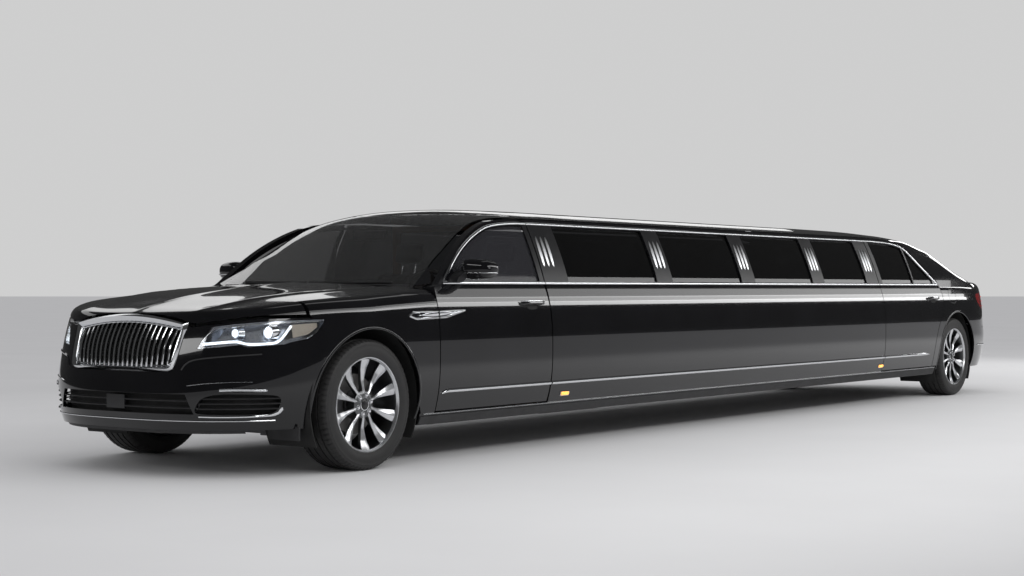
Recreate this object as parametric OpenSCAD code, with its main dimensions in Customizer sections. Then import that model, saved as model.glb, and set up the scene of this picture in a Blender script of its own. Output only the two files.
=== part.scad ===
// Stretch limousine: a long sedan body on four road wheels, with steered front wheels,
// four side doors, a front-opening hood and a trunk lid.
// Front is -Y, the vehicle's left is +X, +Z is up. The origin is on the ground at the
// middle of the whole length. Sub-parts are drawn from the front axle backwards, and
// placed() moves them to the origin.

/* [Overall] */
// Distance between the front and rear axles
wheelbase = 8100; // [7400:50:9800]
// Body ahead of the front axle
front_overhang = 960; // [900:10:1150]
// Body behind the rear axle
rear_overhang = 1120; // [1050:10:1300]
// Widest body width, without the mirrors
body_w = 1912; // [1780:4:2300]
// Height of the roof above the ground
body_h = 1488; // [1440:4:1790]
// Height of the window sills
belt_z = 1002; // [980:2:1030]
// Height of the sills' underside
sill_z = 212; // [190:2:240]

/* [Wheels] */
// Tyre outside diameter
tyre_d = 706; // [588:2:740]
// Tyre width at its sidewalls
tyre_w = 244; // [205:1:275]
// Rim flange diameter
rim_d = 533; // [440:1:560]
// Distance between the wheel centres of one axle
track = 1606; // [1500:2:1640]
// Wheel arch opening radius
arch_r = 412; // [395:1:440]
// Number of spokes on each rim
spokes = 10; // [5:1:12]
// Brake disc diameter
disc_d = 330; // [280:2:360]

/* [Doors and panels] */
// Shut-line gap between panels that move
shut_gap = 7.5; // [7:0.5:9]
// Front door length at the waist
front_door_l = 1090; // [905:5:1310]
// Rear door length at the waist
rear_door_l = 1230; // [1150:2:1400]
// Thickness of the doors and the body side below the windows
wall_t = 84; // [60:1:100]
// Thickness of the window frames and pillars
frame_t = 46; // [36:1:60]
// Thickness of fender, bumper and quarter panels
skin_t = 16; // [10:1:24]
// Thickness of the hood, roof and trunk lid
lid_t = 26; // [18:1:40]
// Thickness of the glass
glass_t = 5; // [4:0.5:8]
// Width of a cabin pillar between two side windows
pillar_w = 208; // [150:2:300]

/* [Seating] */
// Height of the seat cushions above the ground
cushion_z = 520; // [480:5:560]
// Width of one front seat
seat_w = 540; // [480:5:600]
// Depth of the long side couch
couch_d = 520; // [440:5:600]
// Steering wheel diameter
steering_d = 380; // [350:2:400]

/* [Hidden] */
$fn = 64;
half_w = body_w / 2;
fit = 0.3; // face clearance of a seated piece
mid_y = (wheelbase + rear_overhang - front_overhang) / 2; // from the front axle to the origin
tail_y = wheelbase + rear_overhang;
wheel_r = tyre_d / 2;
wheel_x = track / 2;
waist_z = 620; // height of the widest line of the sides
waist_span = 380; // waist to belt
waist_in = 56; // how far the sides pull in over that span
belt_x = half_w - waist_in - 3; // side glass at the belt
lean = 0.30; // how the side glass leans in, with its added curve
lean_curve = 0.000281;
rail_z = body_h - 105; // top edge of the side windows
floor_z = 250; // top of the floor
floor_t = 30;

// Shut lines along the side
front_door_y = 573; // front edge of the front door
b_post_y = front_door_y + front_door_l + shut_gap; // start of the stretched side
rear_door_y1 = wheelbase - 340; // rear edge of the rear door at the waist
c_post_y = rear_door_y1 - rear_door_l - shut_gap; // end of the stretched side
door_z = sill_z + 74; // bottom edge of the doors
shut_taper = 0.26; // how far a door's rear face leans in over its thickness
hinge_in = 16; // hinge axis inboard of the widest skin
hinge_back = 60; // hinge axis behind the door's front edge
hinge_span = 110; // hinges above and below the waist
hinge_t = 12; // thickness of a hinge arm
hinge_x = half_w - hinge_in;

// Smooth curve through [position, value] knots
function knot_at(p, t, i = 0) = i >= len(p) - 2 || t < p[i + 1][0] ? i : knot_at(p, t, i + 1);
function knot_slope(p, i) =
    let (a = max(i - 1, 0), b = min(i + 1, len(p) - 1)) (p[b][1] - p[a][1]) / (p[b][0] - p[a][0]);
function smooth_at(p, t) =
    t <= p[0][0] ? p[0][1] : t >= p[len(p) - 1][0] ? p[len(p) - 1][1] :
    let (i = knot_at(p, t), h = p[i + 1][0] - p[i][0], u = (t - p[i][0]) / h)
    p[i][1] * (1 + 2 * u) * pow(1 - u, 2) + knot_slope(p, i) * h * u * pow(1 - u, 2)
    + p[i + 1][1] * u * u * (3 - 2 * u) - knot_slope(p, i + 1) * h * u * u * (1 - u);
function span(a, b, n) = [for (i = [0:n]) a + (b - a) * i / n];

// Half width of the straight body at a height: curved sides, then the leaning glass
function low_side(z) = half_w - waist_in * pow(abs(z - waist_z) / waist_span, 2.6);
function high_side(z) = belt_x - lean * (z - belt_z) - lean_curve * pow(z - belt_z, 2);
function side_x(z) = z < belt_z ? low_side(z) : high_side(z);

// The nose and the tail round in along the length
function nose_reach(z) = front_overhang * smooth_at([[200, 0.968], [300, 0.996], [450, 1],
    [560, 0.98], [700, 0.94], [800, 0.905], [860, 0.885], [1000, 0.86]], z);
function tail_reach(z) = rear_overhang * smooth_at([[200, 0.93], [350, 0.985], [560, 1.0],
    [640, 0.965], [850, 0.955], [1000, 0.975], [1060, 0.97]], z);
function nose_fit(y, z) = y >= 0 ? 1 : pow(max(0, 1 - pow(-y / nose_reach(z), 2.212)), 1 / 3);
tail_start = 200; // behind the rear axle, where the tail starts to round in
function tail_fit(y, z) =
    let (t = y - wheelbase - tail_start)
    t <= 0 ? 1 : pow(max(0, 1 - pow(t / (tail_reach(z) - tail_start), 4)), 0.4);
function low_x(y, z) = low_side(z) * nose_fit(y, z) * tail_fit(y, z);

// Height of the hood and of the trunk deck over a point of the plan
function hood_z(x, y) =
    let (q = -y / front_overhang)
    smooth_at([[-0.62, 1022], [0, 985], [0.42, 940], [0.72, 884], [0.86, 852], [1, 800]], q)
    - 46 * pow(abs(x) / 850, 2.2) * (1 - 0.6 * max(0, q));
function deck_z(x, y) =
    smooth_at([[-1.2, 1076], [0.1, 1074], [0.55, 1070], [0.68, 1066], [0.9, 1046], [1, 1026]],
        (y - wheelbase) / rear_overhang) - 44 * pow(abs(x) / 850, 2.4);

// Height of the windshield, roof and rear window over a point of the plan
glass_low = 975; // lower edge of the windshield
function raised(z, low) = z <= low ? z : low + (z - low) * (body_h - low) / (1488 - low); // follows the roof height
function roof_profile(u) =
    raised(smooth_at([[300, 905], [450, 1000], [790, 1205], [1020, 1345], [1200, 1428], [1450, 1471],
        [2000, 1486], [2600, 1488]], min(u, 2600)), 1000);
rear_glass_y = wheelbase - 425; // top edge of the rear window
function rear_profile(u) =
    raised(smooth_at([[-1500, 1488], [-800, 1484], [-400, 1473], [-140, 1461], [134, 1411], [270, 1378],
        [555, 1257], [770, 1162], [960, 1093], [1100, 1040], [1250, 980]], u - rear_glass_y), 1093);
function roof_crown(x, y) =
    smooth_at([[800, 20], [1500, 88], [rear_glass_y - 100, 88], [rear_glass_y + 800, 24]], y)
    * pow(abs(x) / 750, 2.4);
function bow(x) = 95 * pow(abs(x) / 800, 2.2); // how far the glass ends sweep back
function roof_z(x, y) =
    min(roof_profile(y - bow(x)), rear_profile(y + 1.2 * bow(x))) - roof_crown(x, y);

// Corner where a side meets a top, found by closing in on it
function corner(side, top, z, n = 12) = n == 0 ? [side(z), z] :
    corner(side, top, 0.5 * z + 0.5 * top(side(z)), n - 1);
function bend(a, b, c, u) = a * pow(1 - u, 2) + b * 2 * u * (1 - u) + c * u * u;

// Half section from the bottom of a side, round the corner to the middle of the top
function half_section(side, top, z0, r, guess) =
    let (c = corner(side, top, guess), zs = max(c[1] - r, z0 + 1), xt = max(c[0] - r, c[0] / 2),
        a = [side(zs), zs], d = [xt, top(xt)])
    concat([for (z = span(z0, zs, 7)) [side(z), z]],
        [for (u = [0.25, 0.5, 0.75, 1]) bend(a, c, d, u)],
        [for (u = span(1, 0, 6)) if (u < 1) [xt * u, top(xt * u)]]);
function full_section(h) = concat(h, [for (i = [len(h) - 2:-1:0]) [-h[i][0], h[i][1]]]);

// Body of the nose or the tail at one station, and of the cabin top
function nose_section(y, in_x, in_z) = half_section(
    function(z) max(low_x(y, z) - in_x, 2), function(x) hood_z(x, y) - in_z, sill_z - 10, 70, 880);
function tail_section(y, in_x, in_z) = half_section(
    function(z) max(low_x(y, z) - in_x, 2), function(x) deck_z(x, y) - in_z, sill_z - 10, 60, 980);
function cabin_section(y, in_x, in_z) = half_section(
    function(z) high_side(z) - in_x, function(x) max(roof_z(x, y) - in_z, belt_z - 40), belt_z - 60,
    45, 1330);

// Solid through closed sections, each a list of [x, z] at a station y
module loft(ys, sections) {
    n = len(sections[0]);
    m = len(ys);
    points = [for (j = [0:m - 1], p = sections[j]) [p[0], ys[j], p[1]]];
    walls = [for (j = [0:m - 2], i = [0:n - 1]) let (a = j * n + i, b = j * n + (i + 1) % n)
        [a, b, b + n, a + n]];
    polyhedron(points, concat([[for (i = [n - 1:-1:0]) i]], walls, [[for (i = [0:n - 1]) (m - 1) * n + i]]),
        convexity = 8);
}

nose_ys = [for (q = [0.999, 0.985, 0.96, 0.925, 0.88, 0.82, 0.74, 0.65, 0.54, 0.42, 0.28, 0.12, -0.1, -0.35, -0.66])
    -q * front_overhang];
tail_ys = concat([wheelbase - 700, wheelbase - 100], [for (q = [0.18, 0.4, 0.58, 0.72, 0.82, 0.89, 0.94, 0.975, 0.999])
    wheelbase + q * rear_overhang]);
cabin_ys = concat([300, 420, 540, 660, 780, 900, 1020, 1120, 1220, 1340, 1500, 1750, 2100, 2700],
    [for (d = [-1500, -800, -400, -140, 0, 134, 270, 400, 555, 680, 770, 870, 960, 1100,
    1240]) rear_glass_y + d]);
module nose_body(in_x = 0, in_z = 0) {
    loft(nose_ys, [for (y = nose_ys) full_section(nose_section(y, in_x, in_z))]);
}
module tail_body(in_x = 0, in_z = 0) {
    loft(tail_ys, [for (y = tail_ys) full_section(tail_section(y, in_x, in_z))]);
}
module cabin_top(in_x = 0, in_z = 0) {
    loft(cabin_ys, [for (y = cabin_ys) full_section(cabin_section(y, in_x, in_z))]);
}

// Solids with a drawn outline: across the car, along it, or upwards
module side_prism(outline, x0, x1) {
    translate([x0, 0, 0]) rotate([90, 0, 90]) linear_extrude(x1 - x0) polygon(outline);
}
module front_prism(outline, y0, y1) {
    translate([0, y1, 0]) rotate([90, 0, 0]) linear_extrude(y1 - y0) polygon(outline);
}
module box(low, high) {
    translate(low) cube(high - low);
}
module both_sides() {
    children();
    mirror([1, 0, 0]) children();
}
module wheel_hole(y, r) {
    translate([-half_w - 50, y, wheel_r]) rotate([0, 90, 0]) cylinder(h = body_w + 100, r = r, $fn = 72);
}
module placed() {
    translate([0, -mid_y, 0]) children();
}
// Hands a group to the mesh kernel as one solid
module as_mesh() {
    resize([0, 0, 0]) children();
}

// Top line of the side windows, with its arcs down to the belt at both ends
function window_top(y) = belt_z + (rail_z - belt_z) * (y < wheelbase / 2
    ? smooth_at([[600, -0.1], [900, 0.517], [1200, 0.882], [1450, 0.982], [1750, 1]], y)
    : smooth_at([[-1400, 1], [-1020, 0.96], [-810, 0.848], [-700, 0.65], [-570, 0.407], [-355, 0.047],
        [-300, -0.06]], y - wheelbase));
frame_up = 22; // window frame above the window top line
frame_gap = 10; // roof edge above the frames
sash = 22; // frame inside the window top line
sill_trim = 14; // lower edge of the glass above the belt

// Door outlines seen from the side
front_door_y2 = front_door_y + front_door_l;
rear_door_y0 = rear_door_y1 - rear_door_l;
cut_r = arch_r + 113; // rear door's edge round the wheel arch
front_top_ys = span(600, 1750, 14); // stations along the two window arcs
rear_top_ys = span(wheelbase - 1100, wheelbase - 330, 14);
function front_outline(g = 0) = concat(
    [[front_door_y - g, door_z - g]],
    [for (y = front_top_ys) [y == 600 ? front_door_y - g : y, window_top(y) + frame_up + g]],
    [[front_door_y2 + g + 40, rail_z + frame_up + g], [front_door_y2 + g + 40, door_z - g]]);
cut_top = 761 - 353; // height of the round part of that edge above the axle
function rear_outline(g = 0) = concat(
    [[rear_door_y0 - g, door_z - g]],
    [for (y = concat([rear_door_y0], rear_top_ys))
        [y == rear_door_y0 ? y - g : y + g * 0.5, window_top(y) + frame_up + g]],
    [[wheelbase - 305 + g, 925], [wheelbase - 300 + g, 860]],
    [for (a = span(128.5, 180 + asin((wheel_r - door_z + g) / cut_r), 8))
        [wheelbase + (cut_r - g) * cos(a), wheel_r + (cut_r - g) * sin(a)]]);

// Section of the side from z0 to z1, inset from the skin, as thick as a door or a frame
function wall_section(z0, z1, inset, low_t, high_t) =
    let (low = z0 < belt_z ? span(z0, min(z1, belt_z - 0.01), z1 < belt_z ? 2 : 8) : [],
        high = z1 > belt_z ? span(max(z0, belt_z), z1, 6) : [])
    concat([for (z = concat(low, high)) [side_x(z) - inset, z]],
        [for (i = [len(high) - 1:-1:0]) [side_x(high[i]) - inset - high_t, high[i]]],
        [for (i = [len(low) - 1:-1:0]) [side_x(low[i]) - inset - low_t, low[i]]]);
module side_wall(y0, y1, z0, z1) {
    front_prism(wall_section(z0, z1, 0, wall_t, frame_t), y0, y1);
}

// Window opening between two stations, shrunk by g
function window_outline(y0, y1, g = 0) = concat(
    [[y0 + g, belt_z + sill_trim + g]],
    [for (y = span(y0 + g, y1 - g, 12)) [y, window_top(y) - sash - g]],
    [[y1 - g, belt_z + sill_trim + g]]);
glass_in = 10; // glass inboard of the skin
module pane(y0, y1) {
    intersection() {
        front_prism(wall_section(belt_z, rail_z + sash, glass_in, glass_t, glass_t), y0, y1);
        side_prism(window_outline(y0, y1, fit), half_w - 400, half_w);
    }
}

// Stations of the window openings
front_window = [front_door_y + 215, front_door_y2 - 48];
rear_window_front = [rear_door_y0 + 70, wheelbase - 868];
rear_window_back = [wheelbase - 838, wheelbase - 436];
window_shares = [1.13, 1.04, 1.0, 0.83]; // lengths of the stretched windows against each other
share_sum = window_shares[0] + window_shares[1] + window_shares[2] + window_shares[3];
first_pillar = 262; // from the start of the stretched side to its first window
last_pillar = 230; // from its last window to its end
window_room = c_post_y - b_post_y - first_pillar - last_pillar - 3 * pillar_w;
function shares_before(i) = i == 0 ? 0 : window_shares[i - 1] + shares_before(i - 1);
function long_window(i) =
    let (a = b_post_y + first_pillar + i * pillar_w + window_room * shares_before(i) / share_sum)
    [a, a + window_room * window_shares[i] / share_sum];
module hinge_arms(front_y, reach) {
    for (z = [waist_z - hinge_span, waist_z + hinge_span]) translate([hinge_x, front_y + hinge_back, z]) {
        cylinder(h = hinge_t, r = 5, center = true);
        translate([-68, -6, -hinge_t / 2]) cube([68, 12, hinge_t]);
        translate([-68, -hinge_back - reach, -hinge_t / 2]) cube([12, hinge_back + reach, hinge_t]);
    }
}
module hinge_pockets(front_y) {
    for (z = [waist_z - hinge_span, waist_z + hinge_span])
        translate([hinge_x - wall_t - 20, front_y - 1, z - hinge_t / 2 - 0.5])
            cube([wall_t + 20 + 5.5, hinge_back + 15, hinge_t + 1]);
}
module door(outline, y0, y1, hollow) {
    difference() {
        intersection() {
            side_wall(y0, y1, door_z, rail_z + frame_up);
            side_prism(outline, 0, half_w + 10);
            linear_extrude(2000) polygon([[half_w + 10, y0], [half_w + 10, y1 + 2], [half_w - wall_t * 4,
                y1 - 4 * wall_t * shut_taper], [half_w - wall_t * 4, y0]]);
        }
        hinge_pockets(y0);
        for (w = hollow) side_prism(window_outline(w[0], w[1]), 0, half_w + 10);
    }
}
module left_front_door() {
    color("#0b0b0d") door(front_outline(), front_door_y, front_door_y2, [front_window]);
}
module left_rear_door() {
    color("#0b0b0d") door(rear_outline(), rear_door_y0, wheelbase - 298, [rear_window_front, rear_window_back]);
}
module left_front_door_glass() {
    color("#20242a") pane(front_window[0], front_window[1]);
}
module left_rear_door_glass() {
    color("#20242a") {
        pane(rear_window_front[0], rear_window_front[1]);
        pane(rear_window_back[0], rear_window_back[1]);
    }
}
// Door mirror: a rounded housing on a short foot at the front of the window
mirror_z = belt_z + 22; // foot of the mirror on the door's skin
mirror_foot_r = 12;
mirror_foot_x = high_side(mirror_z) + (mirror_foot_r + fit) * 1.047;
module left_mirror() {
    color("#0b0b0d") {
        hull() for (p = [[955, 880, 1062, 38], [1062, 900, 1070, 34], [950, 870, 1112, 26], [1058, 890, 1114, 24],
            [1000, 800, 1084, 36]]) translate([p[0], p[1], p[2]]) sphere(p[3], $fn = 18);
        hull() for (p = [[mirror_foot_x, 715, mirror_z], [mirror_foot_x, 765, mirror_z], [960, 830, 1050]])
            translate(p) sphere(mirror_foot_r, $fn = 14);
    }
}

// Stretched side between the doors, with its pillars and the sill under both doors
sill_y0 = arch_r + 26;
sill_y1 = wheelbase - arch_r - 26;
module left_body_side() {
    color("#0b0b0d") {
        difference() {
            union() {
                side_wall(b_post_y, c_post_y, sill_z, rail_z + frame_up);
                side_wall(sill_y0, sill_y1, sill_z, door_z - shut_gap);
            }
            for (i = [0:3]) side_prism(window_outline(long_window(i)[0], long_window(i)[1]), 0, half_w + 10);
        }
        hinge_arms(rear_door_y0, shut_gap + 2);
    }
}
module side_glass() {
    color("#20242a") both_sides() for (i = [0:3]) pane(long_window(i)[0], long_window(i)[1]);
}

// Hood, fenders and bumper, cut from the nose along these lines
hood_rear_mid = 395; // rear edge of the hood at its middle
hood_rear_bow = 172; // and how far its corners reach back from there
function hood_rear(x) = hood_rear_mid + hood_rear_bow * pow(abs(x) / 900, 2);
function hood_edge(y) = half_w - 956 + smooth_at([[-560, 705], [-406, 792], [0, 862], [594, 902]], y);
lamp_back = -350; // seam between the bumper and the fender
wedge_y = -430; // front tip of the fender over the headlamp
function lamp_top(x) = smooth_at([[0, 842], [200, 834], [330, 820], [420, 797], [455, 790], [600, 808],
    [720, 828], [960, 838]], abs(x));
module hood_plan(g, y0) {
    rear = [for (x = span(-890, 890, 12)) [x, hood_rear(x) - g]];
    edge = [for (y = span(hood_rear(890), wedge_y, 8)) [hood_edge(y) - g, y - (y > 500 ? g : 0)]];
    translate([0, 0, 500]) linear_extrude(800) polygon(concat(
        [for (p = rear) if (abs(p[0]) < 860) p], edge, [[1100, wedge_y], [1100, y0], [-1100, y0], [-1100, wedge_y]],
        [for (i = [len(edge) - 1:-1:0]) [-edge[i][0], edge[i][1]]]));
}
module above_lamps(g) {
    front_prism(concat([for (x = span(-1000, 1000, 40)) [x, lamp_top(x) + g]], [[1000, 1600], [-1000, 1600]]),
        -front_overhang - 100, 700);
}
module nose_profile(g = 0) {
    side_prism(concat([for (z = span(sill_z - 20, 1100, 16)) [-nose_reach(z) + g, z]], [[700, 1100],
        [700, sill_z - 20]]), -half_w - 10, half_w + 10);
}
module nose_shell(in_x, in_y, in_z) {
    difference() {
        intersection() {
            nose_body();
            nose_profile();
        }
        intersection() {
            translate([0, in_y, 0]) nose_body(in_x, in_z);
            nose_profile(in_y);
        }
    }
}
// Grille outline with corners rounded in, seen from the front
grille_top_w = 840;
grille_low_w = 800;
grille_z0 = 548;
function grille_outline(g) = concat(
    [for (x = span(-grille_top_w / 2 + 8 + g, grille_top_w / 2 - 8 - g, 10)) [x, 838 - g - 44 * pow(x / 420, 2)]],
    [[grille_top_w / 2 - g, 770], [grille_low_w / 2 - g, grille_z0 + 26], [grille_low_w / 2 - 26 - g, grille_z0 + g],
    [-grille_low_w / 2 + 26 + g, grille_z0 + g], [-grille_low_w / 2 + g, grille_z0 + 26],
    [-grille_top_w / 2 + g, 770]]);
// Headlamp outline of the left side, seen from the front, shrunk by g
function lamp_outline(g) = [[452 + g, 788 - g], [600, 806 - g], [720, 826 - g], [800, 833 - g], [905 - g, 834 - g],
    [905 - g, 795], [860, 770 + g], [760, 716 + g], [690, 690 + g], [600, 672 + g], [500, 668 + g],
    [456 + g, 676 + g]];
module lamp_space(g) {
    intersection() {
        front_prism(lamp_outline(g), -front_overhang, -300);
        side_prism([[-1000, 600], [-340, 600], [-300 - g, 800], [-300 - g, 900], [-1000, 900]], 0, half_w);
    }
}
hood_lug_x = 700;
hood_pin_y = hood_rear(890) + 17; // hood hinge axis, behind the hood's rear corners
hood_pin_z = 960;
hood_neck = 70; // drop of the hinge's gooseneck under the windshield's edge
module hood() {
    color("#0b0b0d") as_mesh() {
        intersection() {
            nose_shell(skin_t, skin_t, lid_t);
            hood_plan(0, -front_overhang - 20);
            above_lamps(shut_gap);
        }
        both_sides() side_prism([[hood_pin_y - 102, hood_pin_z + 8], [hood_pin_y - 102, hood_pin_z - hood_neck - 10],
            [hood_pin_y + 12, hood_pin_z - hood_neck - 10], [hood_pin_y + 12, hood_pin_z + 8],
            [hood_pin_y - 12, hood_pin_z + 8], [hood_pin_y - 12, hood_pin_z - hood_neck + 14],
            [hood_pin_y - 82, hood_pin_z - hood_neck + 14], [hood_pin_y - 82, hood_pin_z + 8]],
            hood_lug_x, hood_lug_x + 12);
    }
}
module fender_plan() {
    translate([0, 0, 200]) linear_extrude(1000) polygon(concat([for (y = span(600, wedge_y, 10))
        [hood_edge(y) + shut_gap, y]], [[600, wedge_y], [600, -700], [1100, -700], [1100, 600]]));
}
module left_front_fender() {
    difference() {
        intersection() {
            nose_shell(skin_t, skin_t, skin_t);
            side_prism([[lamp_back, 560], [lamp_back, 760], [wedge_y + 20, 842], [wedge_y + 20, 1000],
                [front_door_y - shut_gap, 1000], [front_door_y - shut_gap, door_z - shut_gap + fit],
                [sill_y0 + 8, door_z - shut_gap + fit], [300, 560]], 0, half_w + 10);
            fender_plan();
        }
        lamp_space(-fit);
        wheel_hole(0, arch_r);
    }
}
module front_fenders() {
    color("#0b0b0d") as_mesh() both_sides() left_front_fender();
}
module headlamps() {
    color("#cfd6dc") as_mesh() both_sides() intersection() {
        nose_shell(90, 90, 60);
        lamp_space(0);
    }
}
module front_bumper() {
    color("#0b0b0d") as_mesh() difference() {
        intersection() {
            nose_shell(skin_t, skin_t, skin_t);
            side_prism([[-1100, 250], [lamp_back - fit, 250], [lamp_back - fit, 757], [wedge_y + 18, 841],
                [-1100, 900]], -half_w - 10, half_w + 10);
        }
        above_lamps(-12);
        both_sides() lamp_space(-fit);
        front_prism(grille_outline(-fit), -front_overhang - 50, -600);
        translate([front_tow[0], -front_overhang - 50, front_tow[1]]) rotate([-90, 0, 0]) cylinder(h = 200,
            r = tow_hole_r, $fn = 24);
        wheel_hole(0, arch_r);
    }
}
grille_bars = 19;
module grille() {
    color("#b9bdc2") as_mesh() {
        difference() {
            intersection() {
                nose_shell(40, 40, 30);
                front_prism(grille_outline(0), -front_overhang - 50, -600);
            }
            front_prism(grille_outline(30), -front_overhang - 50, -500);
        }
        for (i = [0:grille_bars - 1]) let (x = (i - (grille_bars - 1) / 2) * (grille_low_w - 60) / grille_bars)
            box([x - 5, -nose_reach(700) + 32, grille_z0 + 20], [x + 5, -nose_reach(700) + 110, 800]);
        box([-grille_low_w / 2 + 20, -nose_reach(700) + 96, grille_z0 + 14],
            [grille_low_w / 2 - 20, -nose_reach(700) + 112, 800]);
    }
}

// Roof with its pillars, and the fixed glass set in it
function shield_w(z) = 806 - 0.40 * (z - glass_low);
shield_top = raised(1432, 1000);
module cabin_shell(in_x, in_z) {
    difference() {
        cabin_top();
        cabin_top(in_x, in_z);
    }
}
module shield_space(g) {
    front_prism([[-shield_w(glass_low) + g, glass_low - 90 + g], [shield_w(glass_low) - g, glass_low - 90 + g],
        [shield_w(shield_top) - g, shield_top - g], [-shield_w(shield_top) + g, shield_top - g]], 300, 1700);
}
rear_low = 1126; // lower edge of the rear window
rear_top = raised(1418, 1093);
module rear_space(g) {
    front_prism([[-640 + g, rear_low + g], [640 - g, rear_low + g], [575 - g, rear_top - g],
        [-575 + g, rear_top - g]], rear_glass_y - 350, wheelbase + 800);
}
module behind_hood(g) {
    linear_extrude(2000) polygon(concat([for (x = span(-960, 960, 16)) [x, hood_rear(x) + g]], [[960, tail_y],
        [-960, tail_y]]));
}
function lid_front(x) = wheelbase + 632 - 70 * pow(abs(x) / 700, 2);
module before_lid(g) {
    linear_extrude(2000) polygon(concat([for (x = span(-960, 960, 16)) [x, lid_front(x) - g]], [[960, 0],
        [-960, 0]]));
}
module roof() {
    color("#0b0b0d") as_mesh() difference() {
        intersection() {
            cabin_shell(26, lid_t);
            behind_hood(10);
            before_lid(shut_gap + 4);
            box([-half_w, 0, belt_z - 27], [half_w, tail_y, 2000]);
        }
        shield_space(0);
        rear_space(0);
        tail_body();
        side_prism(concat([[500, belt_z - 60], [500, window_top(600) + frame_up + frame_gap]],
            [for (y = concat(front_top_ys, [wheelbase - 1400], rear_top_ys)) [y == 600 ? front_door_y : y,
                window_top(y) + frame_up + frame_gap]],
            [[wheelbase - 300, belt_z - 60]]),
            -half_w - 10, half_w + 10);
    }
}
module windshield() {
    color("#20242a") as_mesh() intersection() {
        cabin_shell(glass_t, glass_t + 2);
        shield_space(fit);
        behind_hood(12);
        box([-half_w, 0, glass_low], [half_w, 1700, 2000]);
    }
}
module rear_window() {
    color("#20242a") as_mesh() intersection() {
        cabin_shell(glass_t, glass_t + 2);
        rear_space(fit);
    }
}

// Tail: quarter panels, trunk lid, bumper and lamps
bumper_z = 632; // seam over the rear bumper
lid_w = 1400; // width of the trunk lid's deck
lid_face_w = 980; // width of its rear face between the lamps
lid_low = 650; // lower edge of that face
lamp_z0 = 772;
lamp_z1 = 935;
lamp_y0 = wheelbase + 480;
module tail_profile(g = 0) {
    side_prism(concat([for (z = span(sill_z - 20, 1200, 16)) [wheelbase + tail_reach(z) - g, z]],
        [[wheelbase - 800, 1200], [wheelbase - 800, sill_z - 20]]), -half_w - 10, half_w + 10);
}
module tail_shell(in_x, in_y, in_z) {
    difference() {
        intersection() {
            tail_body();
            tail_profile();
        }
        intersection() {
            translate([0, -in_y, 0]) tail_body(in_x, in_z);
            tail_profile(in_y);
        }
    }
}
module lid_space(g) {
    difference() {
        box([-lid_w / 2 - g, wheelbase + 500, lid_low - g], [lid_w / 2 + g, tail_y + 10, 1300]);
        translate([0, 0, -1]) before_lid(g);
        both_sides() box([lid_face_w / 2 + g, wheelbase + 500, lid_low - 20], [half_w, tail_y + 20,
            lamp_z1 + 6 - g]);
        box([-half_w, wheelbase + 400, lid_low - 40], [half_w, wheelbase + 880, 960 - g]);
    }
}
module lamp_corner(g) {
    box([lid_face_w / 2 + shut_gap + g, lamp_y0 + g, lamp_z0 + g], [half_w + 10, tail_y + 10, lamp_z1 - g]);
}
shelf_w = 640; // half width of the shelf behind the rear seat
module left_quarter() {
    difference() {
        intersection() {
            tail_shell(skin_t, skin_t, skin_t);
            union() {
                box([0, wheelbase - 700, door_z], [half_w + 10, wheelbase + 60, belt_z - fit]);
                box([0, wheelbase + 60 - fit, bumper_z], [half_w + 10, tail_y + 10, 1300]);
                box([0, wheelbase, 450], [half_w + 10, wheelbase + arch_r + 30, bumper_z + 1]);
            }
        }
        lid_space(shut_gap);
        lamp_corner(-fit);
        box([-10, wheelbase - 800, 900], [shelf_w, lid_front(shelf_w) - shut_gap, 1300]);
        side_prism(rear_outline(shut_gap), -half_w - 10, half_w + 10);
        wheel_hole(wheelbase, arch_r);
    }
}
module rear_quarters() {
    color("#0b0b0d") as_mesh() both_sides() left_quarter();
}
lid_lug_x = 600;
lid_pin_y = lid_front(700) + 10; // trunk hinge axis, at the lid's front corners
module trunk_lid() {
    color("#0b0b0d") as_mesh() {
        intersection() {
            tail_shell(lid_t, lid_t, lid_t);
            lid_space(0);
        }
        both_sides() box([lid_lug_x, wheelbase + 545, 995], [lid_lug_x + 12, wheelbase + 660, 1030]);
    }
}
module rear_bumper() {
    color("#0b0b0d") as_mesh() difference() {
        intersection() {
            tail_shell(skin_t, skin_t, skin_t);
            union() {
                box([-half_w - 10, wheelbase + arch_r + 30 + fit, 250], [half_w + 10, tail_y + 10, bumper_z - fit]);
                box([-half_w - 10, wheelbase + 300, 250], [half_w + 10, tail_y, 450 - fit]);
            }
        }
        translate([rear_tow[0], wheelbase + 1030, rear_tow[1]]) rotate([-90, 0, 0]) cylinder(h = 150,
            r = tow_hole_r, $fn = 24);
        wheel_hole(wheelbase, arch_r);
    }
}
module tail_lamps() {
    color("#8e1216") as_mesh() both_sides() intersection() {
        tail_shell(60, 60, 60);
        lamp_corner(0);
    }
}

// Wheels, drawn about their own axle with +X outwards
bead_r = rim_d / 2 - 12.5; // tyre bead seat under the flange
bead_w = tyre_w / 2 - 22; // half width at the beads
module tyre() {
    color("#17181a") rotate([0, 90, 0]) rotate_extrude($fn = 96) polygon([[bead_r, -bead_w], [bead_r, bead_w],
        [rim_d / 2 + 1, bead_w], [rim_d / 2 + 10, tyre_w / 2 - 8], [(rim_d + tyre_d) / 4 - 2, tyre_w / 2],
        [wheel_r - 16, tyre_w / 2 - 6], [wheel_r, tyre_w / 2 - 28], [wheel_r, -tyre_w / 2 + 28],
        [wheel_r - 16, -tyre_w / 2 + 6], [(rim_d + tyre_d) / 4 - 2, -tyre_w / 2],
        [rim_d / 2 + 10, -tyre_w / 2 + 8], [rim_d / 2 + 1, -bead_w]]);
}
hub_r = 78;
disc_x = 8; // brake disc's outer face from the wheel's centre plane
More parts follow.
